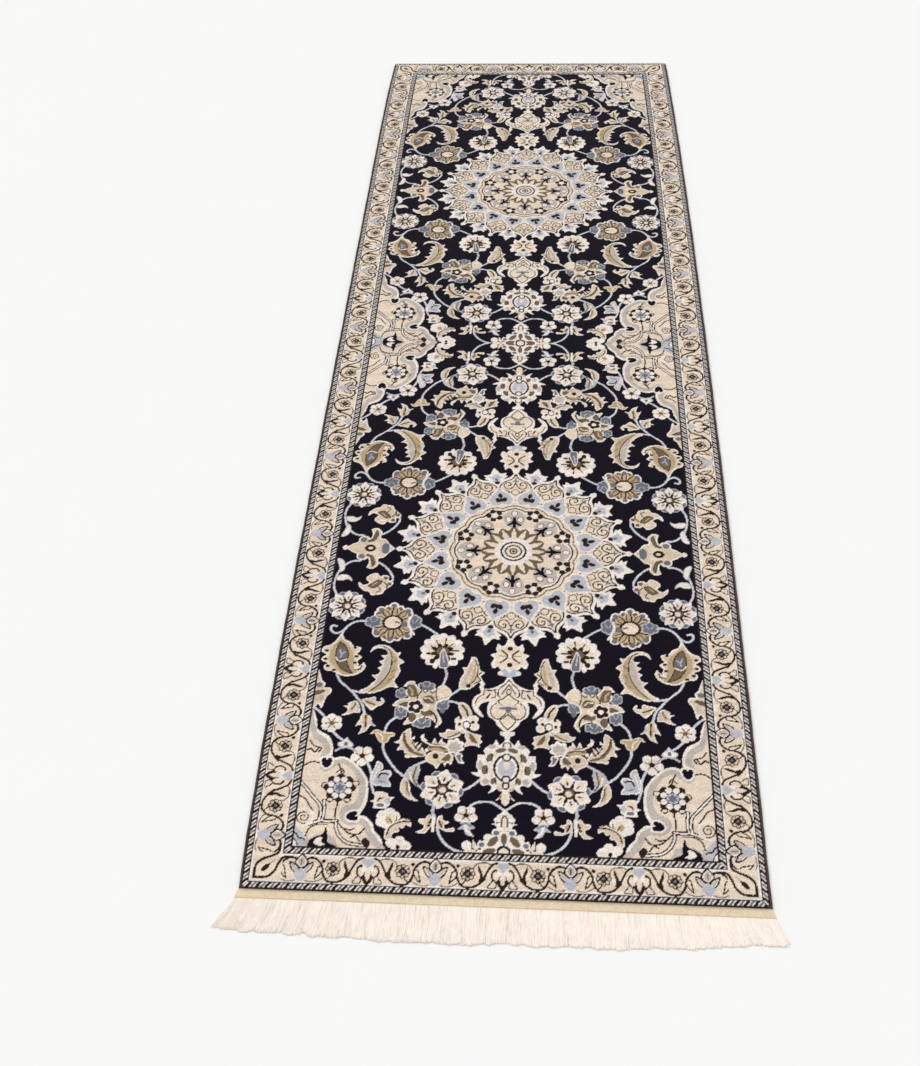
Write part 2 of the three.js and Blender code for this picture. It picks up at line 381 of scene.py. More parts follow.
def leaf_spray(pen):
    pen.shape("fawn", [(71, 271), (62, 268), (57, 264), (59, 260), (51, 259), (57, 256), (58, 251),
        (55, 245), (48, 240), (62, 243), (71, 247), (79, 246), (79, 255), (76, 264)], "ivory", 2.6)
    pen.line("blue", 3.4, (75, 264), (76, 256), (74, 249))
    pen.line("tan", 4.6, (70, 265), (69, 260), (64, 253))
    pen.line("brown", 1.8, (70, 265), (69, 260), (65, 253))
    pen.shape("fawn", [(80, 272), (86, 276), (93, 277), (101, 280), (104, 275), (105, 270), (112, 271),
        (111, 278), (116, 276), (118, 270), (115, 264), (107, 260), (103, 256), (99, 252), (94, 256),
        (88, 262)], "ivory", 2.6)
    pen.line("tan", 4.6, (86, 271), (94, 267), (102, 264))
    pen.line("brown", 2, (88, 270), (95, 266), (102, 264))
    pen.shape("fawn", [(87, 247), (93, 243), (99, 238), (101, 231), (104, 225), (109, 221), (101, 222),
        (98, 221), (94, 212), (88, 208), (81, 205), (84, 213), (85, 222), (81, 223), (75, 220),
        (78, 228), (81, 234), (82, 241)], "ivory", 2.6)
    pen.line("blue", 3, (98, 234), (101, 227), (105, 223))
    pen.line("tan", 5, (90, 242), (90, 230), (91, 218))
    pen.line("brown", 2.4, (90, 241), (91, 230), (92, 220))


def feather_leaf(pen):
    """The large curved leaf with a toothed edge on both sides."""
    pen.shape("fawn", [(84, 372), (88, 383), (97, 389), (108, 389), (119, 384), (128, 374), (137, 373),
        (134, 363), (144, 354), (137, 346), (139, 334), (136, 324), (131, 312), (138, 300), (124, 300),
        (108, 291), (92, 286), (74, 291), (85, 298), (94, 308), (99, 316), (92, 324), (101, 326),
        (105, 334), (101, 340), (108, 346), (102, 353), (110, 359), (103, 367), (113, 367), (112, 377),
        (102, 382), (92, 380)], "ivory", 2.8)
    pen.shape("tan", [(120, 378), (129, 366), (132, 350), (132, 334), (127, 316), (118, 303),
        (104, 294), (90, 290), (106, 306), (118, 326), (122, 350)])
    pen.shape("stone", [(108, 384), (117, 372), (121, 352), (117, 330), (106, 310), (98, 302),
        (104, 322), (109, 340), (112, 360), (114, 372)])
    pen.line("brown", 2, (106, 386), (118, 376), (123, 352), (119, 328), (107, 307), (90, 290))
    for x, y in ((128, 358), (130, 340), (126, 322)):
        pen.line("taupe", 1.6, (x - 5, y - 8), (x + 4, y))


def egg_palmette(pen):
    """The leaning egg-shaped palmette with a scalloped rim and a curled tail."""
    rim = [(30, 412), (37, 400), (47, 394), (54, 385), (66, 383), (66, 374), (62, 368), (71, 361),
        (64, 353), (67, 344), (62, 339), (70, 344), (75, 350), (79, 342), (74, 331), (60, 322),
        (42, 321), (32, 326), (24, 330), (12, 332), (7, 341), (13, 347), (2, 353), (4, 361), (9, 365),
        (0, 373), (3, 382), (12, 386), (18, 391), (24, 401)]
    pen.shape("fawn", rim, "ivory", 3.4)
    pen.shape("tan", [(30, 398), (42, 388), (54, 374), (57, 356), (60, 338), (64, 328), (44, 324),
        (27, 338), (16, 354), (16, 376)])
    pen.shape("taupe", [(29, 393), (24, 376), (24, 360), (30, 345), (40, 333), (58, 326), (52, 338),
        (47, 352), (48, 368), (41, 384)], "brown", 1.8)
    pen.dot("slate", 35, 368, 8, 11)
    pen.line("ivory", 2.4, (25, 360), (33, 352), (45, 356))
    pen.line("blue", 2.2, (31, 376), (35, 366), (34, 360))
    pen.line("blue", 2, (41, 372), (35, 366))
    for x, y in ((8, 374), (8, 356), (14, 341), (26, 333), (57, 382), (61, 363), (60, 349)):
        pen.dot("brown", x, y, 3.6, 2.6)
    pen.line("brown", 2.4, (62, 334), (70, 336), (72, 343))


def carnation(pen):
    pen.scallop("ivory", 39, 13, 0.14, 208, 379)
    pen.scallop("cream", 27, 13, 0.16, 208, 380)
    pen.facets("navy", (196, 334), (203, 348), (222, 350), (226, 334))
    pen.line("blue", 4, (213, 348), (217, 336), (218, 324))
    flame = pen.pen((208, 376))
    flame.scallop("brown", 21, 9, 0.42, tilt=20)
    flame.dot("taupe", 0, 3, 11, 9)
    pen.shape("slate", [(205, 344), (219, 344), (220, 358), (215, 374), (210, 385), (204, 373),
        (204, 358)], "ivory", 2)
    pen.line("blue", 2.6, (209, 380), (210, 366), (212, 356))
    for x, y, rx, ry in ((192, 357, 4.5, 5.5), (228, 363, 5, 3), (185, 373, 5, 2.6)):
        pen.dot("brown", x, y, rx, ry)
    pen.lines("brown", 2.4, [(188, 389), (198, 381)], [(226, 395), (217, 386)], [(236, 380),
        (222, 380)], [(213, 407), (212, 392)], [(196, 402), (201, 392)])


def round_palmette(pen):
    """The big round palmette beside the medallion, with a cream heart."""
    pen.dots("ivory", 9, [(92, 415), (144, 411), (115, 403), (94, 466), (116, 476), (141, 464)])
    rim = pen.pen((117, 438))
    rim.scallop("ivory", 42, 10, 0.24, tilt=18)
    rim.scallop("taupe", 38, 10, 0.26, tilt=18)
    for petal in rim.turned(10):
        petal.shape("tan", [(-4, 15), (-7, 28), (0, 38), (5, 30), (3, 15)])
        petal.line("brown", 2.6, (-2, 15), (-3, 24), (-1, 33))
        petal.line("fawn", 2, (8, 20), (9, 29), (5, 36))
    pen.dots("slate", 5, [(91, 414), (145, 410), (115, 402), (95, 467), (116, 477), (142, 465)])
    ruffle(pen, 83, 440, 15, 13)
    ruffle(pen, 155, 441, 13, 16)
    rim.dot("brown", 0, 1, 18.5, 17)
    rim.dot("cream", 0, 1, 14.5, 13)
    pen.line("brown", 2.6, (122, 441), (130, 438))
    pen.dot("slate", 137, 436, 5, 6)
    pen.line("ivory", 4, (147, 452), (145, 440), (150, 424), (156, 414))


def compound_palmette(pen):
    """Several blooms in one, turned towards the medallion."""
    for x, y, rx, ry in ((145, 288, 10, 11), (186, 303, 15, 11), (147, 250, 11, 13),
                         (183, 230, 16, 10), (215, 270, 11, 15)):
        ruffle(pen, x, y, rx, ry)
    # the body, in cream with a pale rim, and the horn over it
    pen.shape("fawn", [(147, 302), (155, 313), (164, 314), (169, 306), (178, 297), (192, 296),
        (203, 301), (214, 308), (226, 299), (229, 288), (223, 278), (212, 274), (205, 264), (208, 252),
        (214, 240), (215, 231), (206, 221), (203, 234), (192, 240), (180, 240), (168, 230), (153, 226),
        (158, 238), (160, 252), (146, 260), (132, 263), (140, 274), (150, 278), (158, 280), (151, 290),
        (155, 302)], "ivory", 3)
    pen.shape("tan", [(206, 299), (216, 304), (224, 296), (223, 286), (214, 282), (206, 288)], "cream",
        2.6)
    pen.dot("cream", 213, 292, 9, 10)
    # shaded hollows between the petals
    pen.shape("taupe", [(154, 305), (165, 306), (171, 294), (172, 283), (160, 281), (155, 290)])
    pen.line("tan", 4, (158, 300), (163, 293), (163, 286))
    pen.shape("taupe", [(143, 265), (151, 270), (160, 270), (161, 264), (152, 262)], "brown", 1.4)
    pen.shape("taupe", [(161, 252), (170, 250), (172, 238), (166, 231), (160, 240)], "brown", 1.4)
    pen.line("brown", 2.4, (176, 304), (178, 294), (172, 282), (176, 274))
    pen.line("brown", 2, (204, 300), (203, 288), (206, 276))
    pen.line("taupe", 3, (186, 240), (190, 250), (182, 254))
    pen.shape("taupe", [(182, 282), (196, 285), (202, 276), (198, 269), (185, 271)])
    pen.line("cream", 2.6, (184, 279), (192, 280), (198, 274))
    pen.shape("taupe", [(180, 252), (192, 257), (200, 251), (198, 245), (184, 245)])
    pen.line("brown", 3.2, (196, 254), (203, 247), (207, 237), (205, 226))
    pen.dot("slate", 216, 255, 4, 5)
    for x, y in ((185, 292), (197, 291)):
        pen.line("brown", 2, (x - 4, y + 3), (x, y - 1), (x + 4, y + 3))
    # dark flower at the middle, with a pale crescent beside it
    pen.dot("ivory", 186, 261, 8, 8)
    pen.dots("ivory", 7, around(5, 9, 171, 262, 18))
    pen.dots("brown", 5.4, around(5, 8, 171, 262, 18))
    pen.dot("brown", 171, 262, 8)
    pen.dot("ivory", 171, 262, 4.4)
    pen.dot("cream", 187, 260, 4.6, 5.4)


def leaf_cluster(pen):
    """Feathered leaves and small blooms between the palmettes."""
    # left feather: brown spine, teeth on its right, spikes on its left
    pen.shape("fawn", [(165, 219), (155, 212), (151, 203), (149, 196), (141, 191), (151, 188),
        (147, 177), (157, 177), (160, 170), (162, 163), (174, 164), (190, 166), (195, 170), (188, 182),
        (186, 191), (180, 186), (180, 193), (174, 190), (174, 205), (169, 200), (168, 210)], "ivory",
        2.6)
    pen.line("taupe", 4.4, (156, 208), (157, 196), (163, 184), (172, 174), (188, 168))
    pen.line("brown", 1.8, (157, 208), (159, 196), (165, 185), (174, 176))
    pen.line("brown", 1.6, (171, 198), (173, 188), (181, 178))
    for x, y in ((176, 200), (181, 191), (187, 186)):
        pen.line("navy", 2.6, (x, y), (x - 5, y - 9))
    for x, y in ((149, 208), (146, 184), (156, 170)):
        pen.line("navy", 2, (x, y), (x + 5, y))
    # middle feather, over a shaded hollow
    pen.shape("tan", [(197, 186), (206, 191), (218, 188), (230, 186), (230, 178), (214, 176),
        (200, 178)])
    pen.line("taupe", 4.4, (200, 184), (212, 186), (224, 181))
    pen.shape("fawn", [(189, 209), (184, 205), (185, 198), (192, 192), (202, 187), (216, 186),
        (230, 184), (232, 192), (221, 194), (218, 201), (213, 194), (206, 201), (203, 193), (195, 196),
        (189, 203)], "ivory", 2.4)
    pen.line("brown", 1.6, (194, 195), (204, 190), (216, 189))
    for x in (199, 209, 223):
        pen.line("navy", 2.4, (x - 1, 203), (x + 3, 192))
    pen.dot("brown", 190, 187, 5, 5.6)
    pen.dot("ivory", 195, 178, 3.4)
    # right feather, with a dark stroke under it
    pen.shape("fawn", [(213, 211), (218, 204), (227, 201), (238, 203), (248, 208), (256, 216),
        (254, 224), (244, 222), (236, 218), (226, 219), (222, 213)], "ivory", 2.4)
    pen.line("brown", 2.2, (228, 204), (238, 208), (246, 214))
    # pale boss that the leaves spring from
    pen.scallop("ivory", 16, 7, 0.24, 240, 187, 10)
    pen.scallop("stone", 11, 7, 0.3, 240, 186, 10)
    pen.line("brown", 4, (250, 210), (250, 200))
    # leaf on the right
    pen.shape("fawn", [(256, 218), (266, 214), (282, 209), (280, 203), (284, 196), (279, 192),
        (281, 186), (269, 190), (255, 187), (258, 198), (255, 208)], "ivory", 2.4)
    pen.shape("taupe", [(263, 213), (270, 206), (276, 195), (268, 196), (263, 204)])
    # lower body
    pen.shape("fawn", [(195, 168), (206, 177), (222, 175), (238, 171), (238, 160), (235, 152),
        (229, 156), (226, 149), (221, 156), (213, 144), (208, 150), (199, 155), (194, 161)], "ivory",
        2.6)
    pen.dot("brown", 210, 167, 5, 5.4)
    pen.shape("taupe", [(220, 161), (230, 172), (234, 168), (231, 159)])
    pen.line("taupe", 1.6, (214, 158), (220, 154), (226, 158))
    pen.shape("slate", [(241, 171), (243, 164), (248, 156), (257, 156), (253, 162), (252, 174)],
        "ivory", 2.6)
    # small leaf and bloom above
    pen.shape("fawn", [(241, 271), (250, 273), (260, 264), (265, 250), (258, 240), (251, 242),
        (245, 254)], "ivory", 2.6)
    pen.line("brown", 3.2, (248, 267), (255, 258), (258, 248))
    for x, y in ((245, 237), (268, 240), (270, 226), (246, 226)):
        pen.dot("ivory", x, y, 8)
        pen.dot("cream", x, y, 5)
    pen.dot("ivory", 257, 231, 9, 10)
    for x, y in ((247, 243), (245, 230), (267, 234), (261, 221)):
        pen.dot("brown", x, y, 2.6, 3.4)
    pen.ring("brown", 2, 257, 229, 6, 7)


def upright_leaf(pen):
    pen.shape("fawn", [(241, 303), (242, 322), (248, 335), (244, 346), (252, 346), (257, 360),
        (259, 368), (267, 366), (272, 352), (275, 340), (283, 335), (276, 328), (281, 315), (272, 314),
        (263, 304), (252, 299)], "ivory", 2.8)
    pen.line("stone", 5, (250, 312), (254, 330), (260, 350))
    pen.line("tan", 4, (258, 310), (264, 330), (266, 352))
    pen.line("brown", 2, (265, 363), (271, 347), (270, 332), (265, 318), (257, 308))
    pen.line("brown", 2, (277, 335), (270, 328), (276, 319), (266, 312))
    pen.dot("brown", 256, 307, 4)


def side_palmettes(pen):
    """Blooms that the field's edge or the repeat's line cuts in half."""
    pen.shape("fawn", [(-4, 254), (8, 262), (14, 253), (17, 264), (20, 276), (27, 287), (25, 295),
        (14, 296), (15, 304), (8, 312), (3, 326), (-4, 336)], "ivory", 3)
    pen.dot("stone", 12, 275, 5)
    pen.shape("taupe", [(-2, 280), (8, 282), (17, 289), (10, 291), (-2, 287)], "brown", 1.4)
    pen.dot("slate", 5, 301, 6, 5)
    pen.shape("fawn", [(47, 531), (49, 520), (58, 511), (68, 508), (72, 501), (84, 502), (92, 505),
        (97, 515), (106, 523), (109, 532), (100, 538), (101, 546), (92, 549), (85, 546), (78, 553),
        (69, 551), (61, 544), (61, 536), (66, 531), (57, 524)], "ivory", 3)
    pen.shape("taupe", [(64, 522), (72, 530), (80, 537), (90, 535), (85, 524), (75, 517)], "brown", 1.4)
    pen.line("cream", 2, (72, 523), (80, 531))
    pen.lines("brown", 2, [(84, 520), (88, 512), (82, 508)], [(92, 532), (99, 524), (98, 516)])
    pen.dots("taupe", 4, [(95, 542), (103, 528)])
    pen.dot("cream", 76, 542, 6, 4)
    pen.shape("ivory", [(4, 537), (10, 547), (21, 549), (31, 543), (35, 532), (26, 537), (17, 533),
        (8, 534)], "stone", 1.8)
    pen.shape("ivory", [(1, 586), (10, 586), (17, 576), (17, 560), (10, 554), (6, 570)], "blue", 2)
    pen.shape("fawn", [(18, 620), (24, 606), (35, 600), (38, 588), (50, 584), (58, 590), (60, 577),
        (58, 566), (70, 564), (78, 574), (76, 588), (86, 592), (95, 604), (102, 620)], "ivory", 3)
    pen.dot("slate", 45, 594, 6, 6)
    pen.dot("slate", 88, 611, 7, 10)
    pen.shape("taupe", [(52, 596), (60, 592), (64, 580), (67, 568), (72, 578), (68, 592), (60, 602)],
        "brown", 1.4)
    pen.dot("cream", 66, 606, 12, 8)
    pen.shape("brown", [(48, 616), (56, 606), (66, 608), (70, 616), (60, 622)])
    pen.dot("cream", 60, 615, 4)
    pen.dot("ivory", 13, 615, 5, 6)


def axis_motifs(pen):
    """Motifs on the rug's long axis. Here x is the distance from the axis."""
    # half palmette at the end of the repeat
    pen.shape("ivory", [(-5, 41), (6, 36), (16, 30), (26, 32), (31, 28), (31, 20), (38, 20), (40, 11),
        (34, 5), (44, 6), (60, 2), (60, -6), (-5, -6)])
    for dye, radius in (("ivory", 7), ("slate", 4.4)):
        pen.dots(dye, radius, [(12, 34), (34, 13)])
    pen.dot("taupe", 0, 24, 4.6, 10)
    pen.dot("taupe", 17, 19, 5.6, 11, 40)
    pen.dot("taupe", 22, 3, 10, 4.6, -10)
    pen.dot("brown", 0, 3, 11, 10)
    pen.dot("cream", 0, 2, 7.5, 6.5)
    pen.shape("cream", [(38, 3), (42, 12), (48, 21), (48, 8), (60, 3), (50, 0)])
    pen.line("brown", 2, (36, 7), (42, 2))
    pen.line("brown", 2.2, (51, 16), (50, 8), (46, 5))
    pen.dot("ivory", 57, 11, 8)
    # its bud
    pen.shape("ivory", [(-5, 73), (0, 74), (7, 68), (13, 62), (17, 56), (14, 51), (19, 49), (13, 46),
        (12, 40), (5, 38), (-5, 38)])
    pen.line("taupe", 2.6, (1, 64), (4.5, 56), (4.5, 44))
    pen.line("cream", 3, (0, 60), (0, 36))
    pen.line("taupe", 2, (7, 52), (13, 51))
    # great palmette
    pen.shape("cream", [(-4, 110), (5, 106), (9, 97), (15, 90), (7, 92), (5, 85), (0, 81), (-4, 84)])
    pen.line("brown", 2, (7, 98), (9, 92))
    pen.shape("ivory", [(-4, 203), (6, 198), (12, 192), (18, 202), (22, 193), (32, 188), (37, 181),
        (35, 173), (46, 172), (47, 163), (48, 152), (45, 141), (55, 139), (47, 133), (41, 131),
        (41, 121), (36, 116), (27, 118), (22, 112), (27, 103), (18, 107), (13, 112), (6, 107),
        (-4, 106)])
    for x, y, rx, ry in ((24, 189, 7, 4), (42, 153, 4, 9), (32, 124, 6, 5), (9, 113, 5, 6)):
        pen.dot("stone", x, y, rx, ry)
    pen.ring("cream", 5, 0, 149, 25, 36)
    pen.dot("brown", 0, 149, 21, 26)
    pen.dot("ivory", 0, 149, 17.4, 22)
    pen.dot("blue", 0, 148, 14, 18)
    pen.dot("cream", 0, 154, 5, 8)
    for y in (169, 128):
        pen.dot("brown", 0, y, 7.6)
        pen.dot("ivory", 0, y, 5)
    pen.dot("taupe", 10, 182, 9, 4, -12)
    pen.line("taupe", 3, (0, 198), (6, 194), (6, 189))
    for x, y, rx, ry, tilt in ((27, 168, 4.6, 9, 25), (34, 145, 5.4, 9, 0), (20, 125, 4.4, 6, 25)):
        pen.dot("taupe", x, y, rx, ry, tilt)
        pen.line("brown", 1.6, (x - 3, y + 7), (x - 4, y - 6))
    pen.line("brown", 2.4, (4.5, 121), (4, 113), (0, 111))
    # lily with two horns
    pen.shape("ivory", [(-4, 330), (2, 328), (8, 318), (17, 310), (28, 304), (41, 302), (41, 314),
        (47, 314), (49, 304), (46, 294), (55, 287), (60, 276), (58, 262), (50, 250), (40, 245),
        (44, 254), (49, 263), (44, 272), (32, 276), (35, 264), (32, 248), (22, 240), (17, 230),
        (8, 221), (3, 217), (12, 217), (11, 211), (5, 208), (2, 200), (-4, 200)])
    pen.shape("cream", [(-4, 320), (1, 320), (8, 311), (16, 303), (19, 292), (16, 282), (21, 283),
        (21, 301), (30, 299), (41, 299), (42, 290), (51, 284), (55, 274), (53, 268), (45, 277),
        (32, 281), (20, 276), (26, 268), (29, 258), (25, 246), (16, 241), (13, 236), (6, 226),
        (-4, 221)])
    pen.lines("brown", 2, [(0, 322), (8, 311), (16, 302), (18, 290), (14, 286)], [(0, 312), (6, 302),
        (11, 293)], [(0, 303), (4, 297), (2, 292)], [(21, 302), (31, 299), (41, 299), (42, 291),
        (51, 284), (55, 272)], [(23, 300), (22, 287), (28, 284)], [(0, 292), (9, 283), (17, 278),
        (9, 270), (0, 266)], [(20, 274), (27, 267), (29, 256), (25, 246), (16, 242), (8, 248),
        (4, 254)], [(0, 252), (7, 245), (13, 239), (7, 229), (0, 221)])
    pen.line("brown", 3, (31, 292), (36, 284))
    pen.line("ivory", 2.2, (0, 289), (9, 280), (14, 277), (7, 270), (0, 267))
    pen.line("ivory", 2, (0, 317), (7, 306), (14, 298))
    pen.line("slate", 4.4, (-2, 262), (6, 264), (13, 263))
    pen.dot("slate", 0, 261, 4.6, 7)
    pen.dot("ivory", 0, 214, 12, 4)
    # star palmette that meets the medallion's tip
    pen.dot("blue", 0, 336, 20, 8)
    pen.dot("ivory", 15, 335, 5, 4)
    pen.shape("ivory", [(-4, 412), (5, 404), (9, 396), (15, 393), (21, 398), (24, 386), (23, 379),
        (33, 374), (27, 366), (31, 356), (28, 345), (20, 349), (14, 342), (7, 344), (-4, 340)])
    pen.shape("cream", [(-4, 400), (5, 394), (16, 390), (20, 380), (27, 374), (22, 364), (25, 351),
        (14, 348), (-4, 346)])
    pen.lines("brown", 3, [(2, 372), (9, 379), (15, 384)], [(2, 372), (9, 364), (16, 358)])
    pen.line("taupe", 2.6, (4, 372), (18, 372))
    pen.dot("brown", 0, 388, 4.6)
    pen.dot("brown", 0, 353, 5)
    pen.dot("ivory", 0, 372, 3)


# ---- Spandrels ----------------------------------------------------------------
SPANDREL = [(-6, 262), (0, 255), (10, 230), (14, 212), (34, 199), (42, 182), (44, 166), (38, 156),
    (48, 158), (62, 161), (80, 152), (92, 140), (104, 122), (107, 108), (108, 84), (101, 62), (92, 58),
    (108, 54), (120, 42), (124, 30), (136, 16), (139, 0), (139, -8), (-8, -8)]


def spandrel(pen):
    """Cloud-edged corner. Two of them in mirror make a side cartouche."""
    pen.shape("ivory", SPANDREL)
    pen.shape("stone", [(-6, 250), (8, 222), (14, 206), (30, 194), (38, 180), (38, 166), (32, 160),
        (48, 154), (62, 157), (78, 148), (90, 136), (100, 120), (103, 106), (103, 86), (96, 66),
        (84, 58), (90, 52), (104, 50), (116, 40), (120, 28), (131, 14), (134, -8), (-8, -8)])
    pen.shape("cream", [(-8, 236), (2, 214), (8, 196), (22, 186), (28, 174), (24, 158), (26, 140),
        (36, 132), (48, 140), (62, 147), (76, 139), (86, 124), (92, 106), (92, 88), (86, 76), (72, 70),
        (66, 58), (72, 44), (84, 38), (100, 40), (108, 32), (116, 14), (122, -8), (-8, -8)])
    # two navy drops that eat into the edge
    for x, y, turn in ((36, 148, 0), (86, 54, -80)):
        drop = pen.pen((x, y), turn)
        drop.shape("ivory", [(-11, 10), (-10, -4), (0, -12), (10, -4), (11, 10), (0, 14)])
        drop.shape("navy", [(-8, 8), (-7, -3), (0, -9), (7, -3), (8, 8), (2, 9), (0, 5), (-2, 9)])
    # inner lines along the side, with the scroll that they end in
    pen.line("brown", 2.6, (4, 190), (12, 180), (24, 176), (20, 168))
    pen.line("brown", 3, (2, 172), (8, 174), (14, 168), (20, 176))
    pen.line("brown", 2.6, (0, 142), (8, 148), (16, 150), (24, 148))
    # flower
    pen.scallop("brown", 26, 8, 0.2, 62, 104)
    pen.dots("ivory", 5.2, around(8, 15.4, 62, 104, 22.5))
    pen.dot("blue", 62, 104, 9.6)
    pen.scallop("slate", 8, 6, 0.5, 62, 104)
    for x, y in ((38, 107), (87, 112), (76, 83), (49, 83)):
        pen.ring("brown", 1.8, x, y, 5)
    pen.line("brown", 2.8, (63, 128), (60, 138), (56, 147))
    pen.line("brown", 2.4, (54, 132), (62, 138), (66, 132))
    # channels of white between brown lines
    white = [[(-2, 113), (10, 100), (22, 86), (34, 72), (37, 58), (36, 45)], [(22, 38), (36, 44),
        (50, 44), (64, 45)], [(62, 45), (64, 32), (70, 20), (82, 9), (96, 6), (114, 4)], [(40, 80),
        (42, 62), (41, 46)]]
    pen.lines("brown", 6.8, *white)
    pen.lines("ivory", 2.8, *white)
    pen.line("brown", 2.6, (62, 78), (60, 62), (61, 47))
    pen.line("brown", 2.6, (64, 44), (74, 33), (86, 24), (100, 24), (108, 34))
    pen.line("brown", 2.4, (78, 32), (86, 30), (92, 33))
    pen.line("brown", 2.4, (88, 18), (96, 20), (102, 12))
    # spiral
    pen.ring("ivory", 3, 11, 50, 15)
    turns = np.linspace(0, 3.6 * np.pi, 60)
    coil = 2 + 9.5 * turns / turns[-1]
    route = np.stack([11 + coil * np.cos(turns), 50 + coil * np.sin(turns)], 1)
    pen.plan.stroke(pen.place(route), 1.8, "brown")
    pen.line("brown", 2.4, (-2, 88), (10, 82), (18, 70), (24, 62))
    # corner
    pen.facets("blue", (-8, -8), (-8, 38), (4, 32), (14, 22), (20, 8), (26, -8))
    pen.line("brown", 2.4, (-8, 24), (2, 22), (8, 14), (16, 12), (20, 2))
    pen.shape("ivory", [(-8, 14), (0, 14), (6, 6), (8, -8), (-8, -8)], "brown", 2)
    pen.shape("stone", [(20, -8), (18, 12), (28, 26), (42, 32), (56, 26), (66, 10), (70, -8)])
    pen.shape("cream", [(22, 12), (26, 28), (40, 36), (54, 30), (60, 18), (48, 22), (34, 20)])
    pen.line("brown", 2.4, (18, 18), (22, 30), (34, 38), (50, 38))
    pen.shape("navy", [(26, -6), (24, 8), (32, 16), (44, 22), (48, 34), (52, 20), (54, 8), (66, 2),
        (64, -6)])
    pen.shape("ivory", [(32, 6), (36, 14), (44, 16), (44, 8), (50, 4), (40, 2)])
    pen.dot("brown", 112, 10, 6, 8, 30)


# ---- Medallion ----------------------------------------------------------------
LOBES, BLOOMS = 16, 8
LOBE_TURN = 360 / LOBES


def medallion(pen):
    """Sixteen lobes about a flowered disc. Here y points outwards."""
    between = pen.turned(LOBES, LOBE_TURN / 2)
    for star in between:
        for half in star.halves():
            half.shape("ivory", [(0, 178), (12, 180), (14, 189), (22, 195), (19, 199), (22, 205),
                (12, 205), (8, 208), (5, 214), (0, 219)])
            half.shape("blue", [(0, 182), (7, 185), (8, 191), (12, 196), (7, 199), (0, 203)])
        star.dot("slate", 0, 190, 3, 4)
    pen.dot("cream", 0, 0, 150)
    for lobe in pen.turned(LOBES):
        lobe.shape("ivory", [(-27, 136), (-33, 156), (-34, 172), (-26, 185), (-11, 194), (-5, 203),
            (-6, 210), (0, 217), (6, 210), (5, 203), (11, 194), (26, 185), (34, 172), (33, 156),
            (27, 136), (0, 128)])
        lobe.shape("cream", [(-26, 138), (-30, 157), (-30, 170), (-22, 181), (-7, 190), (0, 203),
            (7, 190), (22, 181), (30, 170), (30, 157), (26, 138), (0, 130)], "brown", 3)
        for half in lobe.halves():
            half.line("brown", 2.3, (0, 178), (4, 168), (11, 161), (19, 164), (22, 172), (16, 179),
                (9, 176), (10, 170), (14, 171))
            half.line("brown", 2, (19, 158), (12, 154), (13, 147))
        lobe.shape("cream", [(-9, 152), (0, 144), (9, 152), (0, 161)], "brown", 2)
        lobe.line("slate", 4, (0, 177), (0, 188))
        lobe.line("slate", 3, (-5, 183), (5, 183))
    for heart in between:
        heart.shape("blue", [(0, 121), (-8, 117), (-19, 120), (-24.5, 131), (-21, 144), (-9, 157),
            (0, 169), (9, 157), (21, 144), (24.5, 131), (19, 120), (8, 117)], "ivory", 3)
        for side in (-1, 1):
            heart.dot("brown", 6 * side, 134, 4.8, 6.4, -25 * side)
        heart.dot("brown", 0, 145, 4, 7)
        heart.line("brown", 2.4, (0, 130), (0, 144))
        heart.dot("brown", 0, 181, 5, 4.4)
    for radius, dye in ((117.5, "taupe"), (115, "cream"), (109.5, "brown"), (106.5, "ivory"),
                        (103.5, "cream")):
        pen.scallop(dye, radius, LOBES, 0.05, tilt=LOBE_TURN)
    for patch in pen.turned(BLOOMS):
        patch.shape("stone", [(-14, 66), (-22, 84), (-14, 98), (0, 104), (14, 98), (22, 84), (14, 66),
            (0, 58)])
    for bloom, spray in zip(pen.turned(BLOOMS, LOBE_TURN), pen.turned(BLOOMS)):
        bloom.dots("brown", 5.8, around(5, 10.5, 0, 97))
        bloom.dot("ivory", 0, 97, 6.4)
        spray.line("navy", 6, (0, 56), (0, 84))
        spray.line("navy", 5, (-11, 66), (-4, 71), (0, 78), (4, 71), (11, 66))
        for x, y in ((-11, 80), (11, 80), (0, 96)):
            spray.dot("ivory", x, y, 5, 6.4)
            spray.ring("taupe", 1.6, x, y, 5.4, 6.8)
    pen.scallop("taupe", 60, LOBES, 0.14)
    for ray in pen.turned(LOBES):
        ray.shape("cream", [(-4, 32), (-4.8, 43), (-2.6, 50), (0, 57), (2.6, 50), (4.8, 43), (4, 32)])
    pen.dot("ivory", 0, 0, 29)
    pen.dots("ivory", 5.8, around(LOBES, 28.5, tilt=11))
    for radius, dye in ((24, "brown"), (20.5, "ivory"), (16, "brown"), (13, "cream"), (7.6, "brown"),
                        (5, "cream"), (2.4, "brown")):
        pen.dot(dye, 0, 0, radius)


# ---- Border -------------------------------------------------------------------
OUTER_GUARD, MAIN_BORDER, INNER_GUARD = 11.0, 46.0, 13.4
BORDER_EDGE = 3.0  # the pale line along each side of the main border
CORNER_STEP = 88.0  # from the rug's corner to the first palmette
END_PALMETTES, SIDE_PALMETTES = 7, 24
DASH_STEP, DASH_SLANT, GUARD_EDGE = 14.6, 0.8, 2.2


def guard(pen, inner, outer, length):
    """Slanted dashes between two dark lines."""
    middle, reach = (inner + outer) / 2, (outer - inner) / 2 - GUARD_EDGE
    pen.facets("brown", (0, inner), (length, inner), (length, outer), (0, outer))
    slant = DASH_SLANT * reach
    for k in range(int(length / DASH_STEP) + 1):
        at = pen.pen((k * DASH_STEP, middle))
        for dye, x0, x1 in (("ivory", 0.0, 8.8), ("slate", 2.4, 6.6)):
            at.facets(dye, (x0 - slant, -reach), (x1 - slant, -reach), (x1 + slant, reach),
                (x0 + slant, reach))


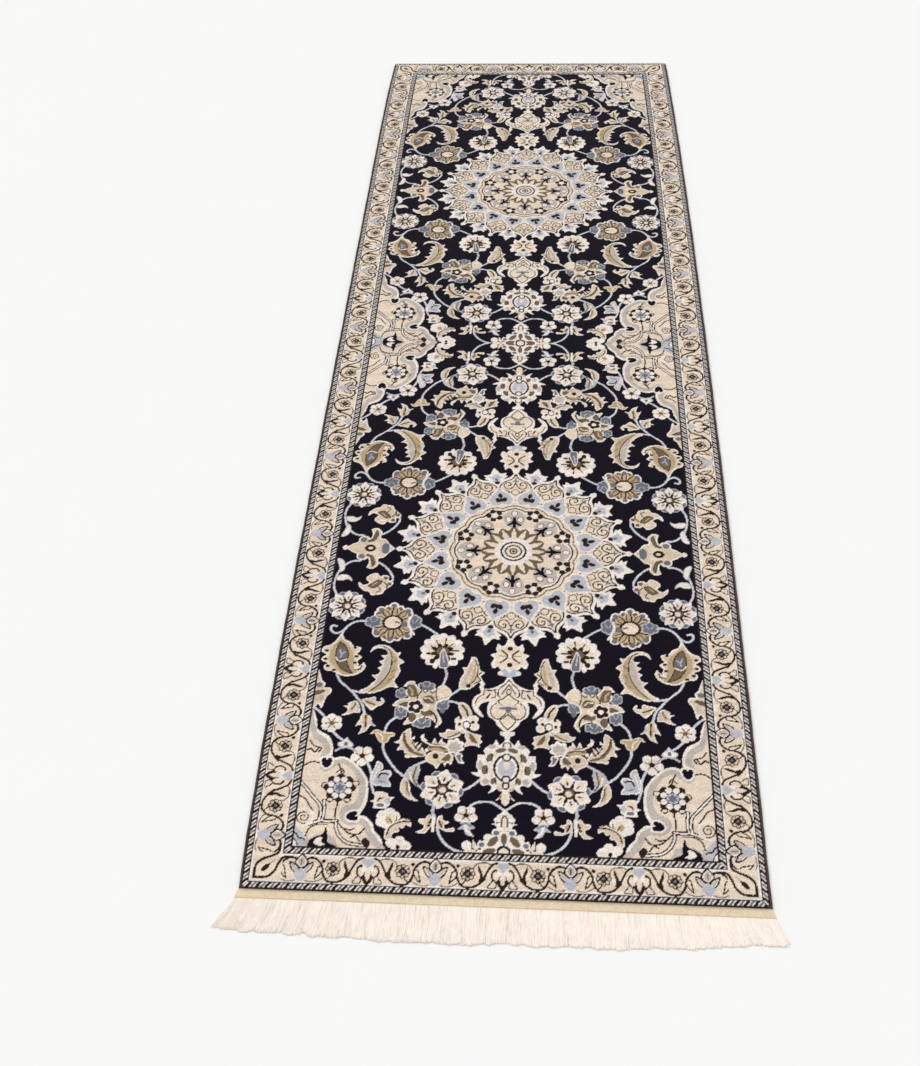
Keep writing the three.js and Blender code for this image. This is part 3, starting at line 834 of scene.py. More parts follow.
def vine_border(pen, length, count):
    """Cream border: palmettes point in and out by turns, with a vine between them.

    x runs along the side and y in from the rug's edge.
    """
    for dye, edge in (("ivory", 0), ("cream", BORDER_EDGE)):
        low, high = OUTER_GUARD + edge, OUTER_GUARD + MAIN_BORDER - edge
        pen.facets(dye, (0, low), (length, low), (length, high), (0, high))
    step = (length - 2 * CORNER_STEP) / (count - 1)
    for k in range(count):
        draw = inward_palmette if k % 2 == 0 else outward_palmette
        draw(pen.pen((CORNER_STEP + k * step, 0)))
    for k in range(count - 1):
        small_rosette(pen.pen((CORNER_STEP + (k + 0.5) * step, 0)), k % 2 == 0, step / 2)


def inward_palmette(pen):
    """Blue foot at the edge, three brown-lined petals towards the field."""
    for half in pen.halves():
        half.shape("ivory", [(0, 24), (8, 25), (16, 33), (19, 45), (10, 42), (2, 34)], "brown", 2.8)
        half.shape("stone", [(3, 27), (9, 30), (14, 37), (15, 42), (7, 36)])
        half.line("brown", 3.6, (9, 50), (17, 52), (26, 47), (32, 38), (33, 28))
        half.shape("cream", [(21, 17), (28, 22), (34, 32), (31, 39), (25, 37), (23, 28)], "brown", 2.6)
        half.line("taupe", 1.8, (8, 14), (18, 12.6), (28, 15), (37, 21))
    pen.shape("ivory", [(0, 33), (9, 40), (10, 47), (0, 58), (-10, 47), (-9, 40)], "brown", 2.8)
    pen.shape("stone", [(0, 37), (5, 42), (5, 47), (0, 53), (-5, 47), (-5, 42)])
    pen.line("taupe", 2, (0, 40), (0, 49))
    pen.facets("blue", (-3, 13), (3, 13), (11, 25), (0, 35), (-11, 25))


def outward_palmette(pen):
    """Blue foot towards the field, brown petals towards the edge."""
    for half in pen.halves():
        half.line("brown", 3, (4, 32), (5, 26), (11, 23), (16, 29), (16, 37), (11, 42), (8, 37))
        half.shape("ivory", [(2, 34), (8, 32), (10, 38), (6, 43), (0, 41)])
        half.shape("cream", [(11, 12), (23, 13), (20, 20), (14, 26), (9, 21)], "brown", 2.2)
        half.line("brown", 3.6, (9, 54), (17, 50), (24, 38), (29, 27))
    pen.shape("brown", [(-8, 19), (0, 10), (8, 19), (7, 26), (-7, 26)])
    pen.shape("cream", [(-3, 22), (0, 17), (3, 22), (4, 32), (-4, 32)])
    pen.facets("blue", (-7, 54), (7, 54), (9, 48), (0, 37), (-9, 48))


def small_rosette(pen, rising, half_step):
    """Diamond flower in the vine's bight, with its tendril and two dark leaves."""
    at = pen.pen((0, 0), 0, (1 if rising else -1, 1))
    at.line("brown", 3.6, (33 - half_step, 30), (36 - half_step, 22), (-9, 14.5), (-1, 13), (8, 14.5),
        (17, 20), (half_step - 27, 28))
    for dye, radius in (("brown", 4.2), ("fawn", 2.5)):
        at.dots(dye, radius, around(8, 8, -2, 35))
    at.facets("brown", (-10, 35), (-2, 27), (6, 35), (-2, 43))
    at.dot("slate", -2, 35, 2.4)
    at.line("brown", 1.8, (-4, 26), (-8, 20), (-13, 17))
    at.line("taupe", 2, (7, 38), (8, 47), (15, 53), (26, 54), (33, 51))
    at.shape("brown", [(14, 40), (17, 32), (15, 23), (19, 21), (22, 30), (19, 40), (14, 50)])
    at.dot("brown", 34 - half_step, 47, 3)


def border_corner(pen):
    """Leaf across the corner; the same both ways about the diagonal."""
    low, high = OUTER_GUARD, OUTER_GUARD + MAIN_BORDER
    pen.facets("ivory", (low, low), (high, low), (high, high), (low, high))
    low, edge, past = low + BORDER_EDGE, high - BORDER_EDGE, high + 2
    pen.facets("cream", (low, low), (past, low), (past, edge), (edge, edge), (edge, past), (low, past))
    pen.line("brown", 4, (15, 17), (28, 17), (40, 20), (48, 29), (53, 42), (60, 51), (72, 52))
    pen.line("brown", 3, (15, 17), (16, 30), (20, 42), (30, 49), (42, 53), (49, 60), (51, 72))
    pen.shape("brown", [(27, 27), (36, 30), (40, 40), (33, 38), (28, 35)])
    pen.line("taupe", 1.8, (40, 40), (45, 46))


# ---- The whole plan -------------------------------------------------------------
MEDALLION_FLIP = (1.005, -1.012)  # it is drawn outwards, and stretched a little


def draw_repeat(columns, rows, pitch):
    """The field's repeat, from the side of the field to its long axis."""
    plan = Plan(columns, rows, pitch, "navy")
    pen = Pen(plan)
    width, length = columns * pitch[0], rows * pitch[1]
    axis = pen.pen((width, 0), 0, (-1, 1))
    pen.lines("pearl", VINE_WIDTH, *VINES)
    for draw in (bell, lily, leaf_pair, blue_leaves, leaf_spray, feather_leaf, upright_leaf, blossoms,
                 cut_blossoms, egg_palmette, carnation, round_palmette, compound_palmette,
                 leaf_cluster, side_palmettes, spandrel):
        draw(pen)
    axis_motifs(axis)
    medallion(pen.pen((width, length), 0, MEDALLION_FLIP))
    return plan.dye


def draw_borders(columns, rows, pitch):
    """The near end's strip and the left side's strip, outer edge first."""
    strips = []
    for knots, along, across, count in ((columns, pitch[0], pitch[1], END_PALMETTES),
                                        (rows, pitch[1], pitch[0], SIDE_PALMETTES)):
        plan = Plan(knots, BORDER_KNOTS, (along, across), "ivory")
        pen = Pen(plan)
        length = knots * along
        band = OUTER_GUARD + MAIN_BORDER
        vine_border(pen, length, count)
        border_corner(pen)
        border_corner(pen.pen((length, 0), 0, (-1, 1)))
        guard(pen, 0, OUTER_GUARD, length)
        guard(pen, band, band + INNER_GUARD, length)
        strips.append(plan.dye)
    return strips


def draw_rug(pitch):
    """Dye numbers of every knot, near row first, left column first."""
    rug = np.zeros((ROWS, COLUMNS), np.uint8)
    repeat = draw_repeat(FIELD_COLUMNS, REPEAT_ROWS, pitch)
    half = np.vstack([repeat, repeat[::-1]])
    left = np.vstack([half, half])
    edge = BORDER_KNOTS
    rug[edge:-edge, edge:-edge] = np.hstack([left, left[:, ::-1]])
    end_strip, side_strip = draw_borders(COLUMNS, ROWS, pitch)
    row, column = np.indices(rug.shape)
    from_side = np.minimum(column, COLUMNS - 1 - column)
    from_end = np.minimum(row, ROWS - 1 - row)
    on_side = (from_side < edge) & (from_side <= from_end)
    on_end = (from_end < edge) & ~on_side
    rug[on_side] = side_strip[from_side[on_side], row[on_side]]
    rug[on_end] = end_strip[from_end[on_end], column[on_end]]
    return rug


# ---- Where the rug lies ---------------------------------------------------------
def node_box(name):
    """A CAD node's lowest and highest corners, in millimetres."""
    low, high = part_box(name)
    return np.array(low) / MM, np.array(high) / MM


ground_low, ground_high = node_box("ground_weave")
pile_low, pile_high = node_box("pile_field")
HALF_WIDTH, HALF_LENGTH = ground_high[0], ground_high[1]
RUG_HALF_WIDTH = node_box("selvedge_right")[1][0]
KNOT_PITCH = (2 * HALF_WIDTH / COLUMNS, 2 * HALF_LENGTH / ROWS)
LENGTHS = 8  # the rug is meshed in this many lengths

# A long rug never has quite straight sides: how far each one bows outwards.
LEFT_BOW, RIGHT_BOW = 7.5, 12.5
RIGHT_PEAK = 0.27  # how far from the middle to the far end the right side bows most
WAVE_HEIGHT = 1.1  # the rug lifts off the floor by this much here and there


def lay(points):
    """Lays straight cloth down as the rug really lies: bowed sides and slight waves."""
    x, y, z = np.moveaxis(np.array(points, float), -1, 0)
    along = np.clip(y / HALF_LENGTH, -1, 1)
    left = LEFT_BOW * (1 - along**8)
    lean = (along - RIGHT_PEAK) / np.where(along < RIGHT_PEAK, 1 + RIGHT_PEAK, 1 - RIGHT_PEAK)
    right = RIGHT_BOW * (1 - lean**2)
    bowed = x + x / RUG_HALF_WIDTH * np.where(x < 0, left, right)
    wave = np.sin(y / 190 + 1.3 * np.sin(x / 260)) * np.cos(x / 310 - y / 700)
    wave += 0.5 * np.sin(y / 71 + x / 150) * (x / RUG_HALF_WIDTH) ** 2
    lift = WAVE_HEIGHT * np.clip(0.5 + 0.5 * wave, 0, 1.2) * (1 - along**10)
    return np.stack([bowed, y, z + lift], -1)


# ---- Mesh helpers ---------------------------------------------------------------
SHARP_ANGLE = 55


def add_mesh(name, shell, material):
    """Makes a piece from a shell: points in millimetres, lists of faces, and the points' colours.

    The faces of one list all have the same number of corners. The colours may be None: the pile's and
    back's are dyes, the fringe's are painted shade.
    """
    points, faces, colours = shell
    mesh = bpy.data.meshes.new(name)
    points = lay(points) * MM
    mesh.vertices.add(len(points))
    mesh.vertices.foreach_set("co", points.astype(np.float32).ravel())
    sizes = np.concatenate([np.full(len(f), f.shape[1]) for f in faces])
    corners = np.concatenate([f.ravel() for f in faces])
    mesh.loops.add(len(corners))
    mesh.loops.foreach_set("vertex_index", corners.astype(np.int32))
    mesh.polygons.add(len(sizes))
    starts = np.concatenate([[0], np.cumsum(sizes)[:-1]])
    mesh.polygons.foreach_set("loop_start", starts.astype(np.int32))
    mesh.update(calc_edges=True)
    mesh.validate()
    mesh.shade_smooth()
    mesh.set_sharp_from_angle(angle=math.radians(SHARP_ANGLE))
    # The colours go into an attribute named dye: real dyes on the pile and its back, painted shade
    # between strands on the fringe.
    if colours is not None:
        layer = mesh.color_attributes.new(name="dye", type="FLOAT_COLOR", domain="POINT")
        rgba = np.ones((len(points), 4), np.float32)
        rgba[:, :3] = colours
        layer.data.foreach_set("color", rgba.ravel())
    mesh.materials.append(material)
    piece = bpy.data.objects.new(name, mesh)
    bpy.context.scene.collection.objects.link(piece)
    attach(piece, "root")
    return piece


def slab(face, base, colours=None):
    """A shell: a fine grid of points (rows, columns, 3), plain sides, and a flat base."""
    rows, columns = face.shape[:2]
    index = np.arange(rows * columns).reshape(rows, columns)
    quads = np.stack([index[:-1, :-1], index[:-1, 1:], index[1:, 1:], index[1:, :-1]], -1)
    rim = np.concatenate([index[0, :-1], index[:-1, -1], index[-1, :0:-1], index[:0:-1, 0]])
    points = face.reshape(-1, 3)
    low = points[rim].copy()
    low[:, 2] = base
    foot = len(points) + np.arange(len(rim))
    walls = np.stack([np.roll(rim, -1), rim, foot, np.roll(foot, -1)], -1)
    near, far = foot[:columns], foot[columns + rows - 2 : 2 * columns + rows - 2]
    left = np.concatenate([foot[:1], foot[: 2 * columns + rows - 4 : -1]])
    right = foot[columns - 1 : columns + rows - 1]
    strips = np.stack([left[1:-2], left[2:-1], right[2:-1], right[1:-2]], -1)
    ends = [np.concatenate([near[::-1], left[1:2], right[1:2]])[None],
            np.concatenate([far[::-1], right[-2:-1], left[-2:-1]])[None]]
    faces = [quads.reshape(-1, 4), walls, strips, *ends]
    if base > face[..., 2].max():
        faces = [f[:, ::-1] for f in faces]
    shades = None
    if colours is not None:
        shades = colours.reshape(-1, 3)
        shades = np.vstack([shades, shades[rim]])
    return np.vstack([points, low]), faces, shades


def tubes(paths, radii, sides):
    """A shell of closed tubes: paths (tubes, rings, 3), radii (tubes, rings, sides or 1)."""
    count, rings = paths.shape[:2]
    ahead = np.gradient(paths, axis=1)
    ahead /= np.linalg.norm(ahead, axis=-1, keepdims=True)
    across = np.cross(ahead, (0, 0, 1))
    across /= np.linalg.norm(across, axis=-1, keepdims=True)
    up = np.cross(across, ahead)
    a = np.arange(sides) * 2 * np.pi / sides
    ring = across[:, :, None] * np.cos(a)[:, None] + up[:, :, None] * np.sin(a)[:, None]
    points = paths[:, :, None] + ring * radii[..., None]
    index = np.arange(count * rings * sides).reshape(count, rings, sides)
    turned = np.roll(index, -1, 2)
    skin = np.stack([index[:, :-1], turned[:, :-1], turned[:, 1:], index[:, 1:]], -1)
    faces = [skin.reshape(-1, 4), index[:, 0, ::-1], index[:, -1]]
    return points.reshape(-1, 3), faces, None


# ---- Materials ------------------------------------------------------------------
def linear(colour):
    """A hex sRGB colour as linear RGB."""
    srgb = np.array([int(colour[i : i + 2], 16) for i in (1, 3, 5)]) / 255
    return np.where(srgb < 0.04045, srgb / 12.92, ((srgb + 0.055) / 1.055) ** 2.4)


NOISE_RANGE = (0.3, 0.7)  # noise seldom leaves it


class Shader:
    """A material's nodes, made a line at a time."""

    def __init__(self, name):
        self.material = bpy.data.materials.new(name)
        self.material.use_nodes = True
        self.tree = self.material.node_tree
        self.surface = self.tree.nodes["Principled BSDF"]
        self.place = self.node("ShaderNodeTexCoord").outputs["Object"]

    def node(self, kind, inputs=(), **settings):
        made = self.tree.nodes.new(kind)
        for key, value in settings.items():
            setattr(made, key, value)
        for key, value in dict(inputs).items():
            self.feed(made.inputs[key], value)
        return made

    def feed(self, socket, value):
        if isinstance(value, bpy.types.NodeSocket):
            self.tree.links.new(value, socket)
        else:
            socket.default_value = value

    def noise(self, scale, detail=2.0, stretch=(1, 1, 1)):
        """Noise with so many waves a metre."""
        mapping = self.node("ShaderNodeMapping", {"Vector": self.place, "Scale": stretch})
        made = self.node("ShaderNodeTexNoise", {"Vector": mapping.outputs[0], "Scale": scale,
                                                "Detail": detail})
        return made.outputs["Fac"]

    def wave(self, scale, direction):
        made = self.node("ShaderNodeTexWave", {"Vector": self.place, "Scale": scale},
                         bands_direction=direction)
        return made.outputs["Fac"]

    def knots(self, scale, randomness=0.5):
        made = self.node("ShaderNodeTexVoronoi", {"Vector": self.place, "Scale": scale,
                                                  "Randomness": randomness})
        return made.outputs["Distance"]

    def maths(self, operation, a, b):
        made = self.node("ShaderNodeMath", operation=operation)
        self.feed(made.inputs[0], a)
        self.feed(made.inputs[1], b)
        return made.outputs[0]

    def span(self, value, low, high, start=0.0, end=1.0):
        made = self.node("ShaderNodeMapRange", {"Value": value, "From Min": start, "From Max": end,
                                                "To Min": low, "To Max": high})
        return made.outputs[0]

    def grain(self, waves, low, high, detail=2.0, stretch=(1, 1, 1)):
        """A number from low to high that varies with noise."""
        return self.span(self.noise(waves, detail, stretch), low, high, *NOISE_RANGE)

    def shade(self, colour, by):
        """A colour made lighter or darker by a number about 1."""
        made = self.node("ShaderNodeVectorMath", operation="SCALE")
        self.feed(made.inputs[0], colour)
        self.feed(made.inputs["Scale"], by)
        return made.outputs[0]

    def bump(self, height, depth, strength=1.0, under=None):
        made = self.node("ShaderNodeBump", {"Height": height, "Distance": depth * MM,
                                            "Strength": strength})
        if under is not None:
            self.feed(made.inputs["Normal"], under)
        return made.outputs[0]

    def finish(self, **inputs):
        for key, value in inputs.items():
            self.feed(self.surface.inputs[key.replace("_", " ")], value)
        return self.material


def pile_material():
    """Cut wool and silk: tufts a knot wide, fibre tips, rows that vary, soft sheen."""
    s = Shader("dyed_pile")
    dye = s.node("ShaderNodeAttribute", attribute_name="dye").outputs["Color"]
    rows = s.grain(9, 0.8, 1.0, 3, stretch=(0.25, 9, 1))
    tufts = s.grain(420, 0.8, 1.2, 3)
    fleck = s.grain(1700, 0.88, 1.12)
    colour = s.shade(s.shade(s.shade(dye, rows), tufts), fleck)
    bright = s.node("ShaderNodeRGBToBW", {"Color": dye}).outputs[0]
    rough = s.span(bright, 0.92, 0.72, 0.1, 0.8)
    tuft_bump = s.bump(s.knots(640), 0.5, 0.55)
    fibre_bump = s.bump(s.noise(2600, 3), 0.25, 0.6, tuft_bump)
    return s.finish(Base_Color=colour, Roughness=rough, Normal=fibre_bump, Sheen_Weight=0.06,
                    Sheen_Roughness=0.4, Sheen_Tint=(1, 0.97, 0.93, 1), Specular_IOR_Level=0.1)


def back_material():
    """The knots' backs between the wefts: the same design, flatter and ribbed."""
    s = Shader("knot_backs")
    dye = s.node("ShaderNodeAttribute", attribute_name="dye").outputs["Color"]
    weft = s.span(s.wave(1000 / KNOT_PITCH[1] / 20, "Y"), 0.72, 1.08)
    warp = s.span(s.wave(1000 / KNOT_PITCH[0] / 20, "X"), 0.9, 1.05)
    speckle = s.grain(900, 0.85, 1.15)
    # The colour is darker in the waves' troughs, which are the grooves of the ribs' bump below: painted
    # shade over the knots' own colours.
    colour = s.shade(s.shade(s.shade(dye, weft), warp), speckle)
    ribs = s.bump(s.maths("MULTIPLY", weft, warp), 0.5, 0.8)
    return s.finish(Base_Color=colour, Roughness=s.span(speckle, 0.88, 0.96, 0.85, 1.15),
                    Normal=ribs, Sheen_Weight=0.05, Specular_IOR_Level=0.15)


def yarn_material(name, colour, waves, spread, depth, sheen, roughness=0.9, painted_strand_shade=False):
    """Twisted yarn: blotchy tone, fibre flecks and fine hair."""
    s = Shader(name)
    base = s.node("ShaderNodeRGB")
    base.outputs[0].default_value = (*linear(colour), 1)
    blotch = s.grain(waves, 1 - spread, 1 + spread, 4)
    fleck = s.grain(1900, 1 - 0.8 * spread, 1 + 0.8 * spread)
    tone = s.shade(s.shade(base.outputs[0], blotch), fleck)
    # On the fringe, the dye attribute holds painted shade for each strand, which darkens the yarn's
    # tone here.
    if painted_strand_shade:
        own = s.node("ShaderNodeAttribute", attribute_name="dye").outputs["Color"]
        tone = s.node("ShaderNodeVectorMath", {0: tone, 1: own}, operation="MULTIPLY").outputs[0]
    hair = s.bump(s.noise(3200, 3), depth, 0.7)
    return s.finish(Base_Color=tone, Roughness=s.span(fleck, roughness, roughness - 0.08),
                    Normal=hair, Sheen_Weight=sheen, Sheen_Roughness=0.5,
                    Specular_IOR_Level=0.2)


pile_look = pile_material()
back_look = back_material()
selvedge_look = yarn_material("selvedge_wool", "#4d3d36", 160, 0.3, 0.2, 0.1)
kilim_look = yarn_material("kilim_cotton", "#e6d3b6", 210, 0.09, 0.15, 0.1)
fringe_look = yarn_material("fringe_cotton", "#fff7ef", 60, 0.03, 0.12, 0.2, 0.8, painted_strand_shade=True)


# ---- Pile and its ground ----------------------------------------------------------
PALETTE = np.array([linear(colour) for colour in DYES.values()])
EDGE_DROP = (1.6, 0.7, 0.2)  # the outer rows of tufts lean out and stand lower
TUFT_SINK, TUFT_SPREAD = 0.35, 0.16  # how far below the top, and how unevenly, tufts are clipped
DYE_SPREAD = 0.05  # how unevenly the wool takes its dye
BACK_STEP = 2  # the back's mesh has one vertex for this many knots
BACK_FADE, BACK_HAZE = 0.82, 0.03  # the back is duller than the pile

rug_dyes = draw_rug(KNOT_PITCH)
length_rows = np.round(np.linspace(0, ROWS - 1, LENGTHS + 1)).astype(int)
knot_x = np.linspace(-HALF_WIDTH, HALF_WIDTH, COLUMNS)
knot_y = np.linspace(-HALF_LENGTH, HALF_LENGTH, ROWS)
tuft_top = pile_high[2] - TUFT_SINK + TUFT_SPREAD * rng.standard_normal((ROWS, COLUMNS))
for step, drop in enumerate(EDGE_DROP):
    for edge in (step, -1 - step):
        tuft_top[edge, :] -= drop
        tuft_top[:, edge] -= drop
knot_shade = 1 + DYE_SPREAD * rng.standard_normal((ROWS, COLUMNS, 1))
knot_colour = PALETTE[rug_dyes] * knot_shade


# Each length's name ending, and where it starts and ends along the rug.
STRETCHES = [(f"_{number + 1}", knot_y[length_rows[number]], knot_y[length_rows[number + 1]])
             for number in range(LENGTHS)]


def knot_grid(rows, columns, height):
    x, y = np.meshgrid(knot_x[columns], knot_y[rows])
    return np.stack([x, y, np.broadcast_to(height, x.shape)], -1)


def nodes_named(start):
    return [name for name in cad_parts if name.startswith(start)]


pile_lengths, ground_lengths = [], []
for (ending, _, _), first, last in zip(STRETCHES, length_rows[:-1], length_rows[1:]):
    rows, columns = np.arange(first, last + 1), np.arange(COLUMNS)
    tops = slab(knot_grid(rows, columns, tuft_top[rows]), pile_low[2], knot_colour[rows])
    pile_lengths.append(add_mesh("pile_length" + ending, tops, pile_look))

    rows = np.append(rows[:-1:BACK_STEP], last)
    columns = np.append(columns[:-1:BACK_STEP], COLUMNS - 1)
    backs = BACK_FADE * knot_colour[np.ix_(rows, columns)] + BACK_HAZE
    under = slab(knot_grid(rows, columns, 0.0), ground_high[2], backs)
    ground_lengths.append(add_mesh("ground_length" + ending, under, back_look))

for name in nodes_named("pile_"):
    low, high = node_box(name)
    for pile, (_, start, end) in zip(pile_lengths, STRETCHES):
        if low[1] < end and high[1] > start:
            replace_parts(pile, name)
for ground in ground_lengths:
    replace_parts(ground, "ground_weave")

# ---- Selvedges -------------------------------------------------------------------
WRAP_PITCH = 2.1  # one turn of the overcasting yarn
RINGS_A_WRAP, SELVEDGE_SIDES = 4, 10


def selvedge(name, node, start, end):
    """A cord overcast with wool: a tube ringed by slanting turns of yarn."""
    low, high = node_box(node)
    radius = (high[0] - low[0]) / 2
    rings = int((end - start) / WRAP_PITCH * RINGS_A_WRAP) + 1
    y = np.linspace(start, end, rings)
    sway = 0.25 * np.sin(y / 31) + 0.15 * np.sin(y / 8.3)
    path = np.stack([(low[0] + high[0]) / 2 + sway, y, np.full(rings, radius)], -1)
    turn = np.pi * (y[:, None] / WRAP_PITCH + np.arange(SELVEDGE_SIDES) / SELVEDGE_SIDES)
    across = radius * (0.84 + 0.14 * np.abs(np.sin(turn)) + 0.02 * np.sin(y / 5.1)[:, None])
    cord = tubes(path[None], across[None], SELVEDGE_SIDES)
    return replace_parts(add_mesh(name, cord, selvedge_look), node)


for node in ("selvedge_left", "selvedge_right"):
    for ending, start, end in STRETCHES:
        selvedge(node + ending, node, start, end)

# ---- Kilim strips ------------------------------------------------------------------
WARP_PITCH, WEFT_PITCH = 1.55, 0.9  # the flat weave's ribs
GRID_A_THREAD = 3
KILIM_BASE = 0.05


def kilim(name, node, flare_low, flare_high):
    """Weft-faced flat weave: fine wefts ride over and under the warps by turns."""
    low, high = node_box(node)
    columns = int((high[0] - low[0]) / WARP_PITCH * GRID_A_THREAD)
    rows = int((high[1] - low[1]) / WEFT_PITCH * GRID_A_THREAD)
    across, y = np.meshgrid(np.linspace(-1, 1, columns), np.linspace(low[1], high[1], rows))
    part = (y - low[1]) / (high[1] - low[1])
    x = across * (flare_low + (flare_high - flare_low) * part)
    weft = np.floor((y - low[1]) / WEFT_PITCH)
    rib = np.sin(np.pi * x / WARP_PITCH + np.pi * weft)
    row = np.abs(np.sin(np.pi * (y - low[1]) / WEFT_PITCH))
    z = high[2] - 0.35 + 0.2 * rib * row + 0.1 * row
    y = y + 0.35 * np.sin(x / 37) * part * (1 - part) * 4
    strip = slab(np.stack([x, y, z], -1), KILIM_BASE)
    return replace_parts(add_mesh(name, strip, kilim_look), node)


flare = node_box("kilim_near")[1][0]
kilim("kilim_strip_near", "kilim_near", flare, RUG_HALF_WIDTH)
kilim("kilim_strip_far", "kilim_far", RUG_HALF_WIDTH, RUG_HALF_WIDTH)

# ---- Locking rows --------------------------------------------------------------------
TWINE_PITCH, TWINE_RADIUS, TWINE_RINGS, TWINE_SIDES = 4.2, 0.72, 10, 6


def locking_row(name, node):
    """Two cotton strands twined round the warps to lock the last weft."""
    low, high = node_box(node)
    count = int((high[0] - low[0]) / TWINE_PITCH * TWINE_RINGS)
    x = np.linspace(low[0] + 0.5, high[0] - 0.5, count)
    turn = 2 * np.pi * x / TWINE_PITCH + np.array([[0], [np.pi]])
    swing = (high[1] - low[1]) / 4
    y = (low[1] + high[1]) / 2 + swing * np.cos(turn)
    z = (high[2] - low[2]) / 2 + swing * np.sin(turn)
    strands = np.stack([np.broadcast_to(x, y.shape), y, z], -1)
    twine = tubes(strands, np.full((2, count, 1), TWINE_RADIUS), TWINE_SIDES)
    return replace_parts(add_mesh(name, twine, kilim_look), node)


locking_row("twined_row_near", "locking_row_near")
locking_row("twined_row_far", "locking_row_far")

# ---- Fringe ----------------------------------------------------------------------------
WARP_ENDS = 5200  # plied cotton ends, combed out
STRAND_RINGS, STRAND_SIDES = 8, 4
ROOT_WIDTH, TIP_WIDTH = 0.8, 0.5
SPLAY_LEFT, SPLAY_RIGHT, SPLAY_POWER = 24.0, 13.0, 5
MAT_GRID, MAT_HEIGHT, MAT_TONE = (24, 420), 1.5, 0.97  # the mat shows between the strands
MAT_SHORT = 3.5  # how much shorter than the strands the mat is
FRAY = 4.5  # how much shorter than the rest a worn strand may be
LAYERS, FIRST_LAYER, LAYER_STEP = 3, 1.3, 0.6
LOWEST_STRAND = 0.6


def fringe_reach(t, length):
    """How long the fringe is at a part t of the way across: ragged, with two partings."""
    ragged = 0.94 + 0.022 * np.sin(t * 47) + 0.015 * np.sin(t * 19 + 1) + 0.018 * np.sin(t * 160)
    ragged += 0.016 * np.sin(t * 390 + 4 * np.sin(t * 31))
    ends = 0.22 * np.exp(-t / 0.1) + 0.33 * np.exp((t - 1) / 0.17)
    parting = np.exp(-(((t - 0.155) / 0.012) ** 2)) + 0.9 * np.exp(-(((t - 0.95) / 0.014) ** 2))
    return length * (ragged - 0.08 * parting - ends)


def fringe_splay(t):
    return -SPLAY_LEFT * (1 - t) ** SPLAY_POWER + SPLAY_RIGHT * t**SPLAY_POWER


def fringe():
    """Combed warp ends: wavy tapering strands in layers over a mat of the same cotton."""
    first = node_box("fringe_lock_01")
    half, start = -node_box("locking_row_near")[0][0], first[1][1]
    length = start - first[0][1]
    t, u = np.meshgrid(np.linspace(0.002, 0.998, MAT_GRID[1]), np.linspace(1, 0, MAT_GRID[0]))
    x = (2 * t - 1) * half + fringe_splay(t) * u**1.3
    y = start - (fringe_reach(t, length) - MAT_SHORT) * u
    z = MAT_HEIGHT + 0.25 * np.sin(t * 900 + 3 * np.sin(u * 5)) - 0.5 * u**3
    mat, mat_faces, _ = slab(np.stack([x, y, z], -1), 0.1)

    t = np.sort(rng.random(WARP_ENDS))
    layer = rng.integers(0, LAYERS, WARP_ENDS)
    drift = 2.2 * np.sin(t * 61) + 1.8 * np.sin(t * 173) + 3.0 * rng.standard_normal(WARP_ENDS)
    reach = fringe_reach(t, length) - FRAY * rng.random(WARP_ENDS) ** 2
    u = np.linspace(0, 1, STRAND_RINGS)
    curl = rng.normal(0, 1, (WARP_ENDS, 3))
    x = ((2 * t - 1) * half)[:, None] + (fringe_splay(t) + drift)[:, None] * u**1.3
    x += 1.3 * curl[:, :1] * np.sin(np.pi * (2.6 * u + curl[:, 1:2])) * u
    y = start + 0.4 - reach[:, None] * u
    y += 0.9 * curl[:, 2:] * np.sin(np.pi * u) ** 2
    z = FIRST_LAYER + LAYER_STEP * layer[:, None] + 0.25 * np.sin(2 * np.pi * (u + curl[:, :1]))
    z = np.maximum(z - 0.9 * u**4, LOWEST_STRAND)
    width = np.linspace(ROOT_WIDTH, TIP_WIDTH, STRAND_RINGS) * rng.uniform(0.8, 1.2, (WARP_ENDS, 1))
    points, faces, _ = tubes(np.stack([x, y, z], -1), width[..., None], STRAND_SIDES)
    # Painted shade: each strand is darkened by a random amount, most at its root where strands lie over
    # one another, and warmer where darker. It reaches the fringe's material through the dye attribute.
    shadow = np.clip(0.02 + 0.06 * rng.standard_normal((WARP_ENDS, 1, 1)), 0, 0.3)
    shadow = shadow * (1.2 - 0.6 * u)[None, :, None]
    tone = 1 - shadow * np.array([1.0, 1.2, 1.5])
    tone = np.repeat(tone, STRAND_SIDES, 1).reshape(-1, 3)
    tone = np.vstack([np.full((len(mat), 3), MAT_TONE), tone])
    faces = mat_faces + [f + len(mat) for f in faces]
    whole = add_mesh("fringe_near", (np.vstack([mat, points]), faces, tone), fringe_look)
    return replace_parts(whole, *nodes_named("fringe_lock_"))


fringe()
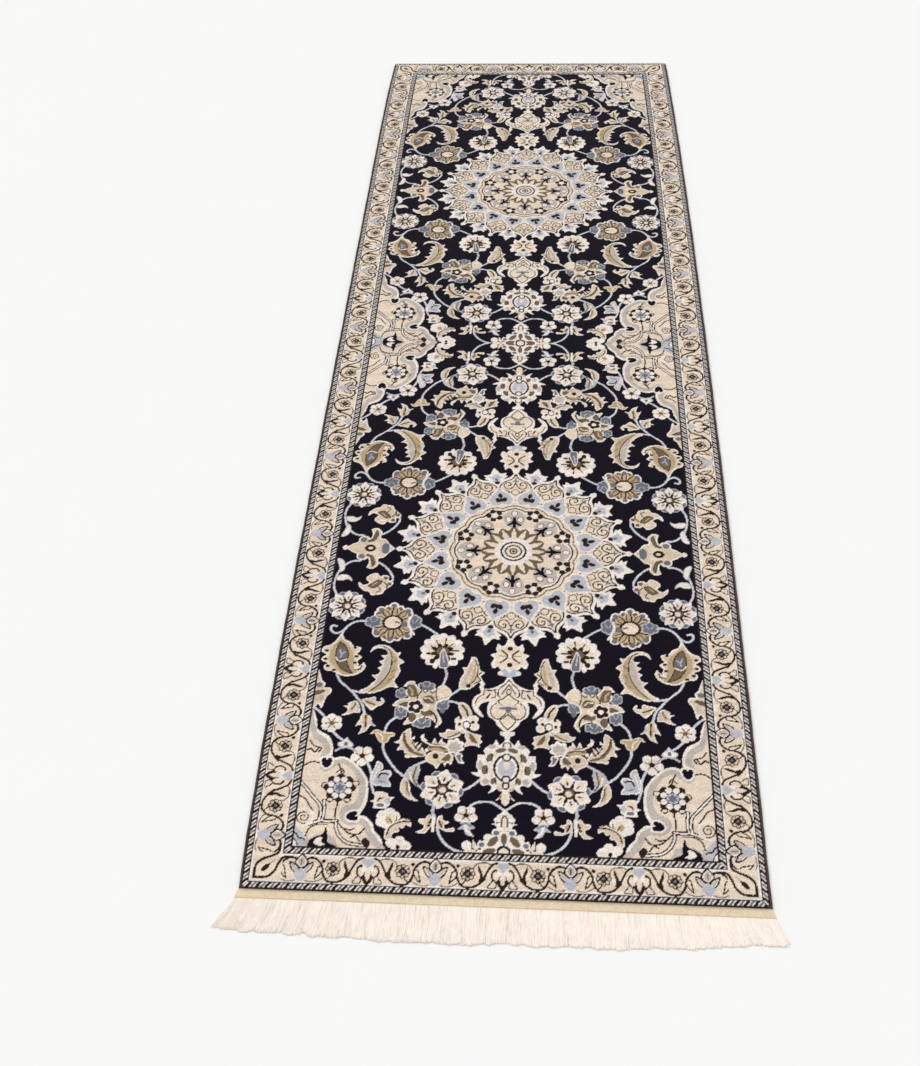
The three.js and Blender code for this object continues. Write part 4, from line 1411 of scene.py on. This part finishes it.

# ---- Each length's name ending, with _near and _far added to the end ones ----------------
endings = [(ending,) for ending, _, _ in STRETCHES]
endings[0] += ("_near",)
endings[-1] += ("_far",)


# ---- Floor, light and camera ---------------------------------------------------------------
# The floor lies a hair below the rug, so that the two never share a plane.
FLOOR_GAP, FLOOR_SIZE = 0.2 * MM, 300
FLOOR_TONE = (0.93, 0.93, 0.93, 1)
SKY_TONE, SKY_STRENGTH = (1.0, 0.995, 0.985, 1), 0.72
KEY_STRENGTH, KEY_SPREAD, KEY_LEAN = 1.25, 35, (-28, -30, 0)
LENS, SENSOR = 40.2, 36
EYE_PLACE, EYE_TURN = (0.030, -2.088, 1.693), (42.07, 1.69, 3.14)


def floor():
    s = Shader("pale_floor")
    tone = s.node("ShaderNodeRGB")
    tone.outputs[0].default_value = FLOOR_TONE
    mottle = s.span(s.noise(6, 2), 0.99, 1.0)
    look = s.finish(Base_Color=s.shade(tone.outputs[0], mottle), Roughness=0.9,
                    Specular_IOR_Level=0.1)
    bpy.ops.mesh.primitive_plane_add(size=FLOOR_SIZE, location=(0, 0, -FLOOR_GAP))
    plane = bpy.context.object
    plane.name = "floor"
    plane.data.materials.append(look)


def lights():
    world = bpy.data.worlds.new("studio")
    bpy.context.scene.world = world
    world.use_nodes = True
    sky = world.node_tree.nodes["Background"]
    sky.inputs["Color"].default_value = SKY_TONE
    sky.inputs["Strength"].default_value = SKY_STRENGTH
    key = bpy.data.lights.new("soft_key", "SUN")
    key.energy = KEY_STRENGTH
    key.angle = math.radians(KEY_SPREAD)
    lamp = bpy.data.objects.new("soft_key", key)
    lamp.rotation_euler = [math.radians(a) for a in KEY_LEAN]
    bpy.context.scene.collection.objects.link(lamp)
    bpy.context.scene.view_settings.view_transform = "Standard"


def camera():
    lens = bpy.data.cameras.new("camera")
    lens.lens = LENS
    lens.sensor_width = SENSOR
    lens.dof.use_dof = False
    eye = bpy.data.objects.new("camera", lens)
    eye.location = EYE_PLACE
    eye.rotation_euler = [math.radians(a) for a in EYE_TURN]
    bpy.context.scene.collection.objects.link(eye)
    bpy.context.scene.camera = eye


floor()
lights()
camera()
